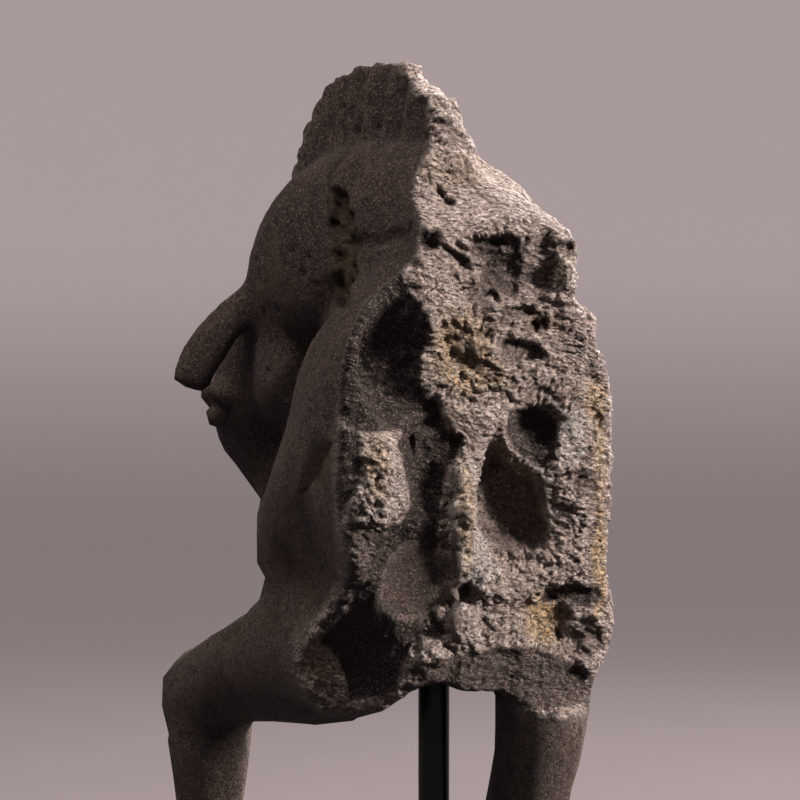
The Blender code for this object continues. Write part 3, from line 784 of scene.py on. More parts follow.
# Outlines on the break as the photograph's 800 pixel frame has them: how much deeper each place
# lies, in parts, how dark and how pale it is. The darkness is mostly painted shade in pits, under
# ledges and overhangs and on the underside, with some darker stone; the paleness is partly pale
# stone and partly painted light on lit lips, ridges and crumbs
OUTLINES = {
    "shoulder pit": (
        1.5, 1.0, 0.0,
        [(398, 232), (412, 240), (402, 262), (404, 285), (415, 300), (425, 312), (430, 325),
         (427, 340), (421, 360), (420, 385), (424, 398), (438, 402), (440, 418), (432, 430),
         (385, 431), (356, 431), (346, 425), (330, 400), (320, 300), (350, 232)],
    ),
    "left of the ridge": (
        0.0, 0.95, 0.0,
        [(320, 424), (357, 431), (362, 465), (361, 480), (349, 502), (338, 530), (320, 530)],
    ),
    "left rim": (0.0, 0.72, 0.0, [(335, 526), (374, 528), (374, 582), (352, 600), (330, 625)]),
    "cleft under the plate": (2.0, 0.85, 0.0, [(416, 229), (440, 231), (437, 250), (423, 252)]),
    "recess": (
        2.4, 0.72, 0.0,
        [(472, 238), (500, 233), (520, 236), (522, 262), (516, 302), (497, 291), (482, 300),
         (478, 285), (483, 262), (470, 252)],
    ),
    "recess's right": (
        1.8, 0.35, 0.0,
        [(520, 236), (548, 234), (556, 245), (556, 262), (550, 290), (545, 305), (516, 302)],
    ),
    "brown overhang": (
        1.6, 0.6, 0.0,
        [(500, 306), (550, 310), (548, 332), (528, 332), (520, 320), (500, 318)],
    ),
    "strata": (1.2, 0.6, 0.0, [(498, 338), (530, 340), (528, 352), (520, 366), (502, 364)]),
    "middle recess": (
        2.0, 1.0, 0.0,
        [(402, 431), (440, 410), (447, 432), (466, 434), (456, 456), (447, 470), (441, 492),
         (440, 520), (436, 560), (438, 600), (436, 617), (446, 632), (440, 638), (420, 636),
         (408, 653), (402, 666), (396, 692), (350, 702), (345, 672), (335, 655), (320, 640),
         (345, 612), (352, 585), (371, 580), (374, 530), (400, 522), (411, 505), (405, 470),
         (398, 445)],
    ),
    "great pit": (
        2.2, 0.6, 0.0,
        [(494, 446), (515, 470), (530, 480), (536, 495), (541, 510), (547, 525), (549, 543),
         (530, 552), (515, 550), (500, 540), (488, 525), (480, 505), (482, 482), (488, 462)],
    ),
    "right pit": (
        2.2, 0.85, 0.0,
        [(508, 408), (530, 408), (545, 411), (556, 420), (558, 440), (553, 460), (545, 468),
         (530, 464), (515, 450), (506, 430)],
    ),
    "shade over the bowl": (
        1.5, 0.8, 0.0,
        [(545, 583), (560, 589), (600, 586), (606, 600), (580, 607), (560, 600), (540, 604)],
    ),
    "underside": (
        0.6, 0.74, 0.0,
        [(398, 700), (408, 668), (446, 657), (500, 647), (545, 652), (580, 664), (596, 676),
         (592, 704), (520, 712), (440, 712)],
    ),
    "under the ridge": (1.6, 0.5, 0.0, [(556, 632), (600, 631), (603, 648), (588, 662), (565, 655)]),
    "elbow hole": (2.0, 0.8, 0.0, [(574, 672), (586, 670), (586, 682), (576, 683)]),
    "dark crumb": (0.8, 0.5, 0.0, [(572, 468), (598, 470), (597, 495), (575, 492)]),
    "notch": (1.6, 0.6, 0.0, [(557, 241), (575, 240), (576, 251), (560, 252)]),
    "left flake's shade": (1.6, 0.8, 0.0, [(401, 249), (420, 262), (415, 269), (401, 264)]),
    "right flake's shade": (1.6, 0.75, 0.0, [(445, 246), (471, 258), (468, 264), (447, 256)]),
    "facet": (
        -1.5, 0.0, 0.1,
        [(298, 632), (312, 630), (333, 655), (345, 675), (350, 700), (330, 695), (312, 668)],
    ),
    "slope": (
        0.0, 0.4, 0.0,
        [(440, 108), (485, 150), (535, 188), (585, 250), (560, 240), (515, 224), (480, 196),
         (455, 160)],
    ),
    "plate": (
        -0.8, 0.0, 0.1,
        [(425, 78), (448, 100), (482, 158), (528, 196), (573, 245), (548, 230), (530, 222),
         (500, 228), (470, 229), (440, 228), (425, 232), (411, 216), (409, 200), (413, 180),
         (420, 148)],
    ),
    "pink plate": (-1.0, 0.0, 0.15, [(440, 406), (505, 408), (512, 425), (470, 433), (447, 431)]),
    "pale patch": (-0.6, 0.0, 0.9, [(558, 410), (585, 408), (586, 455), (570, 472), (556, 462)]),
    "pale block": (-1.4, 0.0, 0.95, [(560, 258), (577, 259), (577, 291), (563, 291)]),
    # Painted light: the lit ridge, lips, crumbs and sticks below are raised and painted paler
    "bright ridge": (
        -2.0, 0.0, 0.35,
        [(357, 432), (385, 430), (397, 442), (405, 470), (411, 490), (408, 505), (390, 522),
         (351, 528), (349, 502), (362, 480), (362, 465)],
    ),
    "left lip": (
        -3.0, 0.0, 0.9,
        [(449, 470), (465, 458), (480, 470), (471, 500), (477, 525), (490, 550), (502, 575),
         (480, 590), (455, 585), (448, 540)],
    ),
    "right lip": (
        -1.8, 0.0, 0.45,
        [(524, 462), (545, 468), (553, 500), (554, 530), (547, 522), (538, 498)],
    ),
    "lit crumb": (
        -1.6, 0.0, 0.2,
        [(405, 688), (403, 665), (412, 650), (422, 637), (445, 640), (455, 656), (443, 684)],
    ),
    "lit lump": (
        -1.4, 0.0, 0.35,
        [(444, 615), (452, 601), (480, 600), (484, 655), (470, 653), (455, 640)],
    ),
    "stick": (-1.8, 0.0, 0.5, [(566, 621), (600, 620), (602, 628), (568, 629)]),
    "slanting stick": (-1.6, 0.0, 0.45, [(583, 666), (598, 660), (599, 666), (586, 672)]),
}


def on_picture(spots):
    """Where the photograph shows each place, in the pixels of its 800 pixel frame."""
    back = np.array(way_to(VIEW_TURN, VIEW_RISE))
    right = np.array(SIGHT_RIGHT)
    over = np.cross(back, right)
    aim = np.array([0.0, BREAK_Y, AIM_Z]) + right * AIM_ACROSS
    points = np.stack(
        [spots[:, 0] * PART, BREAK_Y - spots[:, 1] * PART, SOLE_Z + spots[:, 2] * PART], axis=1
    )
    off = points - aim
    scale = FRAME * LENS / SENSOR / (VIEW_DISTANCE - off @ back)
    return np.stack([FRAME / 2 + scale * (off @ right), FRAME / 2 - scale * (off @ over)], axis=1)


def inside(picture, corners):
    """How far each picture place lies inside the outline through corners, in pixels."""
    nearest = np.full(len(picture), FAR_OFF)
    crossings = np.zeros(len(picture), int)
    x, y = picture.T
    for (x0, y0), (x1, y1) in zip(corners, corners[1:] + corners[:1]):
        run_x = x1 - x0
        run_y = y1 - y0
        share = np.clip(((x - x0) * run_x + (y - y0) * run_y) / (run_x**2 + run_y**2), 0.0, 1.0)
        nearest = np.minimum(nearest, np.hypot(x - x0 - share * run_x, y - y0 - share * run_y))
        if run_y:
            level = (y0 <= y) != (y1 <= y)
            crossings += level & (x < x0 + (y - y0) * run_x / run_y)
    return np.where(crossings % 2 == 1, nearest, -nearest)


def outlined(spots):
    """Depth in parts, darkness (mostly painted shade) and paleness (partly painted light) that the outlines
    give each place of the break.
    """
    warp = 4.5 * np.stack([layered(spots, 6.0, 4, 561), layered(spots, 6.0, 4, 571)], axis=1)
    picture = on_picture(spots) + warp
    depth = np.zeros(len(spots))
    light = np.ones(len(spots))
    pale = np.zeros(len(spots))
    for deep, dark, whiteness, corners in OUTLINES.values():
        within = inside(picture, corners)
        depth += deep * ease(-1.5, 5.0, within)
        light *= 1.0 - dark * ease(-2.5, 2.5, within)
        pale = np.maximum(pale, whiteness * ease(-2.5, 3.0, within))
    return depth, 1.0 - light, pale


# The yellow streak behind the cheek and stains along the neck's crack, as the colour zones above
STREAK_ZONES = [
    (-84.0, 342.0, 3.0, 14.0, 0.7),
    (-78.0, 322.0, 3.4, 14.0, 0.6),
    (-71.0, 308.0, 3.0, 9.0, 0.45),
    (-55.0, 340.0, 4.0, 16.0, 0.6),
    (-89.5, 331.5, 3.0, 3.0, 0.8),
]


def zone(spots, zones, seed):
    """How much of a colour lies at each place of the break, with wandering borders."""
    warp = 2.4 * layered(spots, 9.0, 3, seed)
    across = across_of(spots) + warp
    up = spots[:, 2] - warp
    bare = np.ones(len(spots))
    for zone_across, zone_up, wide, high, strength in zones:
        away = np.hypot((across - zone_across) / wide, (up - zone_up) / high)
        bare *= 1.0 - strength * (1.0 - ease(0.55, 1.25, away))
    return 1.0 - bare


# How many rounds the surface is drawn towards its neighbours, from the least to the most
HELD_ROUNDS = 3
RIM_ROUNDS = 6
NARROW_ROUNDS = 6
SOFT_ROUNDS = 14
FACING_ROUNDS = 16
WIDE_ROUNDS = 60


def keep_attribute(mesh, name, values):
    layer = mesh.attributes.new(name, "FLOAT", "POINT")
    layer.data.foreach_set("value", np.asarray(values, dtype=np.float32))


def broken_share(mesh, spots, edges):
    """1 on the broken face and 0 on the skin, from the broad lie of the surface."""
    facing = spread(normals_of(mesh)[:, 1].copy(), edges, FACING_ROUNDS)
    wander = 0.1 * layered(spots, 5.0, 3, 501)
    return nearness_to_break(spots) * ease(0.12, 0.38, facing + wander)


def stone_form(node):
    """The CAD horse as one even skin, its facets softened."""
    solid = bmesh.new()
    solid.from_mesh(node.data)
    bmesh.ops.remove_doubles(solid, verts=solid.verts, dist=1e-6)
    mesh = bpy.data.meshes.new("stone_form")
    solid.to_mesh(mesh)
    solid.free()
    form = even_skin(mesh, FORM_SKIN)
    points = points_of(form)
    edges = edges_of(form)
    spots = in_parts(points)
    facing = normals_of(form)[:, 1].copy()
    on_break = nearness_to_break(spots) * ease(0.3, 0.6, facing)
    softened = spread(on_break, edges, RIM_ROUNDS)
    rim = nearness_to_break(spots) * (1.0 - np.abs(2.0 * softened - 1.0))
    soft = spread(points.copy(), edges, SOFT_ROUNDS)
    face = ease(118, 126, spots[:, 1]) * ease(218, 224, spots[:, 2])
    hold = np.maximum(ease(0.25, 0.8, rim), 0.7 * face)[:, None]
    held = spread(points.copy(), edges, HELD_ROUNDS)
    put_points(form, soft * (1.0 - hold) + held * hold)
    return form


def carve_break(form):
    """Sinks the photograph's finer hollows and steps into the broken face, away from the camera."""
    points = points_of(form)
    spots = in_parts(points)
    near = nearness_to_break(spots)
    chosen = near > 0.0
    there = spots[chosen]
    sunk, dark, _ = outlined(there)
    rough = (1.0 - zone(there, SMOOTH_ZONES, 511)) * (1.0 - 0.7 * dark)
    depth = fine_relief(there) * (1.0 - 0.5 * dark) + crags(there, rough) + ledges(there) * rough
    depth += sunk - refilled(there)
    points[chosen] -= np.array(SIGHT_BACK) * (depth * near[chosen] * PART)[:, None]
    put_points(form, points)


def carve_surface(form):
    """Crumbs on the break, sand and bites on the skin, strands and cracks."""
    points = points_of(form)
    spots = in_parts(points)
    edges = edges_of(form)
    broken = broken_share(form, spots, edges)
    lift = skin_relief(spots) * (1.0 - broken)
    chosen = broken > 0.0
    there = spots[chosen]
    coarse = (1.0 - zone(there, SMOOTH_ZONES, 511)) * (1.0 - 0.75 * outlined(there)[1])
    lift[chosen] += broken[chosen] * crumb_relief(there, coarse)
    mane = (spots[:, 2] > MANE_FOOT) & (np.abs(spots[:, 0]) < HAIR_REACH)
    lift[mane] += mane_relief(spots[mane]) * (1.0 - broken[mane])
    split, _ = crack_relief(spots)
    lift += (split + figure_relief(spots, -normals_of(form)[:, 1])) * (1.0 - broken)
    points += normals_of(form) * (lift * PART)[:, None]
    put_points(form, points)


# Steps between the finest and the coarsest triangles, and the fineness of the head and mane
FINENESS_STEPS = 10
HEAD_FINENESS = 0.55


def fewer_triangles(form, broken):
    """Leaves fine triangles on the break, the mane and the face, and larger ones elsewhere."""
    holder = bpy.data.objects.new("form_holder", form)
    bpy.context.scene.collection.objects.link(holder)
    spots = in_parts(points_of(form))
    fine = np.maximum(broken, HEAD_FINENESS * ease(250, 330, spots[:, 2]))
    group = holder.vertex_groups.new(name="fine")
    levels = np.round(fine * FINENESS_STEPS).astype(int)
    for level in range(1, FINENESS_STEPS + 1):
        chosen = np.flatnonzero(levels == level).tolist()
        if chosen:
            group.add(chosen, level / FINENESS_STEPS, "REPLACE")
    triangles = sum(len(face.vertices) - 2 for face in form.polygons)
    thin = holder.modifiers.new("Fewer", "DECIMATE")
    thin.ratio = STONE_TRIANGLES / triangles
    thin.vertex_group = "fine"
    thin.invert_vertex_group = True
    thin.vertex_group_factor = 1.0
    graph = bpy.context.evaluated_depsgraph_get()
    made = bpy.data.meshes.new_from_object(holder.evaluated_get(graph), depsgraph=graph)
    bpy.data.objects.remove(holder, do_unlink=True)
    bpy.data.meshes.remove(form)
    return made


def note_zones(mesh):
    """Writes onto the stone where it is broken, stained, pale (partly painted light), dark (mostly painted
    shade), hollow (for painted shade in recesses), worn and cracked.
    """
    points = points_of(mesh)
    spots = in_parts(points)
    edges = edges_of(mesh)
    normals = normals_of(mesh)
    broken = broken_share(mesh, spots, edges)
    narrow, wide = (
        np.sum((spread(points.copy(), edges, rounds) - points) * normals, axis=1) / PART
        for rounds in (NARROW_ROUNDS, WIDE_ROUNDS)
    )
    keep_attribute(mesh, "broken", broken)
    keep_attribute(mesh, "ochre", zone(spots, OCHRE_ZONES, 521) * broken)
    dark = np.zeros(len(spots))
    pale = np.zeros(len(spots))
    chosen = broken > 0.0
    _, dark[chosen], pale[chosen] = outlined(spots[chosen])
    # Paleness: partly pale stone, partly painted light on lit lips, ridges and crumbs
    keep_attribute(mesh, "pale", pale * broken)
    # Painted shade: the outlines' darkness, mostly shade in pits, under ledges and on the underside, partly
    # darker stone
    keep_attribute(mesh, "shade_and_dark_stone", dark * broken)
    # Painted shade: the hollow mask darkens recesses in the colour
    keep_attribute(mesh, "hollow", ease(0.0, 0.55, narrow) * 0.5 + ease(0.0, 2.4, wide) * 0.5)
    keep_attribute(mesh, "worn", ease(0.05, 0.5, -narrow) * 0.6 + ease(0.2, 2.4, -wide) * 0.4)
    keep_attribute(mesh, "crack", crack_relief(spots)[1] * (1.0 - broken))
    left_side = ease(6.0, 12.0, spots[:, 0]) * (1.0 - broken)
    keep_attribute(mesh, "streak", zone(spots, STREAK_ZONES, 551) * left_side)


# Node helpers

class Nodes:
    """Adds nodes to one tree and joins them."""

    def __init__(self, tree):
        self.tree = tree

    def put(self, socket, value):
        if isinstance(value, bpy.types.NodeSocket):
            self.tree.links.new(value, socket)
        elif hasattr(socket.default_value, "__len__") and len(socket.default_value) == 4:
            socket.default_value = (*value[:3], 1.0)
        else:
            socket.default_value = value

    def add(self, kind, settings=None, **inputs):
        made = self.tree.nodes.new(kind)
        for name, value in (settings or {}).items():
            setattr(made, name, value)
        for name, value in inputs.items():
            self.put(made.inputs[name.replace("_", " ")], value)
        return made

    def noise(self, vector, scale, detail=3.0, roughness=0.55, distortion=0.0):
        made = self.add(
            "ShaderNodeTexNoise", Vector=vector, Scale=scale, Detail=detail, Roughness=roughness,
            Distortion=distortion,
        )
        return made.outputs["Fac"]

    def cells(self, vector, scale, feature="F1"):
        return self.add("ShaderNodeTexVoronoi", {"feature": feature}, Vector=vector, Scale=scale)

    def math(self, operation, first, second=0.0, third=0.0):
        made = self.tree.nodes.new("ShaderNodeMath")
        made.operation = operation
        for socket, value in zip(made.inputs, (first, second, third)):
            self.put(socket, value)
        return made.outputs[0]

    def rise(self, value, low, high, bottom=0.0, top=1.0):
        """bottom below low, top above high, soft between."""
        made = self.tree.nodes.new("ShaderNodeMapRange")
        made.interpolation_type = "SMOOTHSTEP"
        for name, number in (
            ("Value", value), ("From Min", low), ("From Max", high), ("To Min", bottom), ("To Max", top)
        ):
            self.put(made.inputs[name], number)
        return made.outputs["Result"]

    def blend(self, share, first, second):
        made = self.tree.nodes.new("ShaderNodeMix")
        made.data_type = "RGBA"
        self.put(made.inputs["Factor"], share)
        self.put(made.inputs[6], first)
        self.put(made.inputs[7], second)
        return made.outputs[2]

    def stretched(self, vector, scale, turn=(0.0, 0.0, 0.0)):
        made = self.add("ShaderNodeMapping", Vector=vector, Scale=scale, Rotation=turn)
        return made.outputs["Vector"]

    def group(self, tree, **inputs):
        made = self.tree.nodes.new("ShaderNodeGroup")
        made.node_tree = tree
        for name, value in inputs.items():
            self.put(made.inputs[name.replace("_", " ")], value)
        return made.outputs

    def in_millimetres(self):
        """Places on the piece, with one unit to a millimetre."""
        place = self.tree.nodes.new("ShaderNodeTexCoord").outputs["Object"]
        scaled = self.add("ShaderNodeVectorMath", {"operation": "SCALE"}, Vector=place, Scale=1000.0)
        return scaled.outputs[0]

    def noted(self, name):
        made = self.tree.nodes.new("ShaderNodeAttribute")
        made.attribute_name = name
        return made.outputs["Fac"]


def new_group(name, inputs, outputs):
    """An empty shader group: inputs and outputs are names with a socket type and a default."""
    tree = bpy.data.node_groups.new(name, "ShaderNodeTree")
    for socket_name, (kind, default) in inputs.items():
        socket = tree.interface.new_socket(socket_name, in_out="INPUT", socket_type=kind)
        if default is not None:
            socket.default_value = default
    for socket_name, kind in outputs.items():
        tree.interface.new_socket(socket_name, in_out="OUTPUT", socket_type=kind)
    return tree, tree.nodes.new("NodeGroupInput").outputs, tree.nodes.new("NodeGroupOutput").inputs


FLOAT = "NodeSocketFloat"
COLOUR = "NodeSocketColor"
VECTOR = "NodeSocketVector"


def grit_group():
    """Grains and crumbs: their height, the light ones, the dark pores and each one's own number."""
    tree, given, out = new_group(
        "Stone grit",
        {"Vector": (VECTOR, None), "Grains per mm": (FLOAT, 1.0), "Light share": (FLOAT, 0.2)},
        {"Height": FLOAT, "Light grains": FLOAT, "Pores": FLOAT, "Own": FLOAT},
    )
    nodes = Nodes(tree)
    warp = nodes.add("ShaderNodeTexNoise", Vector=given["Vector"], Scale=given["Grains per mm"], Detail=3.0)
    moved = nodes.add(
        "ShaderNodeVectorMath", {"operation": "MULTIPLY_ADD"}, Vector=warp.outputs["Color"]
    )
    moved.inputs[1].default_value = (1.5, 1.5, 1.5)
    tree.links.new(given["Vector"], moved.inputs[2])
    cells = nodes.cells(moved.outputs[0], given["Grains per mm"])
    own = nodes.add("ShaderNodeSeparateColor", Color=cells.outputs["Color"]).outputs[0]
    away = cells.outputs["Distance"]
    coarse = nodes.noise(given["Vector"], nodes.math("MULTIPLY", given["Grains per mm"], 0.9), 6.0, 0.72)
    fine = nodes.noise(given["Vector"], nodes.math("MULTIPLY", given["Grains per mm"], 2.1), 4.0, 0.65)
    height = nodes.math("MULTIPLY_ADD", own, 0.35, coarse)
    height = nodes.math("MULTIPLY_ADD", fine, 0.55, height)
    pores = nodes.rise(coarse, 0.42, 0.49, 1.0, 0.0)
    height = nodes.math("SUBTRACT", height, nodes.math("MULTIPLY", pores, 0.35))
    light_floor = nodes.math("SUBTRACT", 1.0, given["Light share"])
    light = nodes.math("GREATER_THAN", own, light_floor)
    light = nodes.math("MULTIPLY", light, nodes.rise(away, 0.3, 0.6, 1.0, 0.0))
    light = nodes.math("MULTIPLY", light, nodes.rise(fine, 0.4, 0.5))
    nodes.put(out["Height"], height)
    nodes.put(out["Light grains"], light)
    nodes.put(out["Pores"], pores)
    nodes.put(out["Own"], own)
    return tree


def drift_group():
    """A colour that wanders between three over broad patches and fine mottling."""
    tree, given, out = new_group(
        "Colour drift",
        {
            "Vector": (VECTOR, None), "Patch mm": (FLOAT, 20.0), "Mottle mm": (FLOAT, 2.0),
            "Main": (COLOUR, None), "Second": (COLOUR, None), "Third": (COLOUR, None),
        },
        {"Colour": COLOUR},
    )
    nodes = Nodes(tree)
    broad = nodes.noise(given["Vector"], nodes.math("DIVIDE", 1.0, given["Patch mm"]), 4.0, 0.6)
    fine = nodes.noise(given["Vector"], nodes.math("DIVIDE", 1.0, given["Mottle mm"]), 4.0, 0.7)
    mixed = nodes.blend(nodes.rise(broad, 0.42, 0.62), given["Main"], given["Second"])
    mixed = nodes.blend(nodes.rise(fine, 0.5, 0.68), mixed, given["Third"])
    nodes.put(out["Colour"], mixed)
    return tree


def dust_group():
    """Dust that lies on what faces up, in patches."""
    tree, given, out = new_group(
        "Settled dust",
        {"Vector": (VECTOR, None), "Amount": (FLOAT, 0.5), "Patch mm": (FLOAT, 12.0)},
        {"Mask": FLOAT},
    )
    nodes = Nodes(tree)
    facing = nodes.add(
        "ShaderNodeSeparateXYZ", Vector=tree.nodes.new("ShaderNodeNewGeometry").outputs["Normal"]
    ).outputs["Z"]
    patches = nodes.noise(given["Vector"], nodes.math("DIVIDE", 1.0, given["Patch mm"]), 5.0, 0.65)
    lying = nodes.math("MULTIPLY", nodes.rise(facing, 0.15, 0.95), nodes.rise(patches, 0.35, 0.7))
    nodes.put(out["Mask"], nodes.math("MULTIPLY", lying, given["Amount"]))
    return tree


def wear_group():
    """Wear on an edge: a mask of the edge broken up by scuffs."""
    tree, given, out = new_group(
        "Edge wear",
        {"Vector": (VECTOR, None), "Edge": (FLOAT, 0.0), "Scuff mm": (FLOAT, 2.0), "Amount": (FLOAT, 1.0)},
        {"Mask": FLOAT},
    )
    nodes = Nodes(tree)
    scuffs = nodes.noise(given["Vector"], nodes.math("DIVIDE", 1.0, given["Scuff mm"]), 5.0, 0.7)
    worn = nodes.math("MULTIPLY", given["Edge"], nodes.rise(scuffs, 0.38, 0.62))
    nodes.put(out["Mask"], nodes.math("MULTIPLY", worn, given["Amount"]))
    return tree


def new_material(name):
    made = bpy.data.materials.new(name)
    made.use_nodes = True
    return made, Nodes(made.node_tree), made.node_tree.nodes["Principled BSDF"]


# Colours of the worked skin
SKIN_COLOURS = {
    "Main": (0.070, 0.041, 0.033), "Second": (0.098, 0.061, 0.049), "Third": (0.040, 0.0225, 0.018),
}
# Dark pores and light grains of the sandy skin, strengthened to paint the shade and glints of grazing light
SKIN_PORE_AND_PAINTED_SHADE = (0.009, 0.0055, 0.0045)
SKIN_GRAIN_AND_PAINTED_GLINT = (0.31, 0.215, 0.178)
# Painted shade for the skin's recesses
SKIN_HOLLOW_PAINTED_SHADE = (0.022, 0.014, 0.012)
SKIN_RUBBED = (0.19, 0.135, 0.112)
CRACK_DARK = (0.036, 0.021, 0.016)
CRACK_RUST = (0.098, 0.056, 0.034)
YELLOW_STREAK = (0.15, 0.105, 0.048)

# Colours of the break
BREAK_COLOURS = {
    "Main": (0.350, 0.250, 0.213), "Second": (0.262, 0.182, 0.154), "Third": (0.160, 0.108, 0.090),
}
BREAK_CRUMB = (0.46, 0.365, 0.325)
# Pale stone, and painted light on the lit lips and ridges
BREAK_PALE_AND_PAINTED_LIGHT = (0.50, 0.445, 0.41)
BREAK_OCHRE = (0.46, 0.295, 0.145)
BREAK_PORE = (0.034, 0.021, 0.017)
BREAK_GRAIN = (0.62, 0.55, 0.50)
# Painted shade for the break's recesses
BREAK_HOLLOW_PAINTED_SHADE = (0.040, 0.028, 0.022)
BREAK_CHIPPED = (0.58, 0.51, 0.46)
# Painted shade for the break's darkest pits and undersides, partly darker stone
BREAK_PAINTED_SHADE = (0.0155, 0.0088, 0.0066)
STONE_DUST = (0.26, 0.22, 0.195)

# Heights in the stone's bump, in millimetres from lowest to highest, and how the drawn scales bend
FLAKE_RISE = 1.5
CRUMB_RISE = 0.8
CHIP_RISE = 2.2
BROAD_SCALE_RISE = 2.0
NARROW_SCALE_RISE = 0.4
SKIN_PIT_RISE = 1.8
SAND_RISE = 1.7
SCALE_BEND = (26.0, 26.0, 26.0)


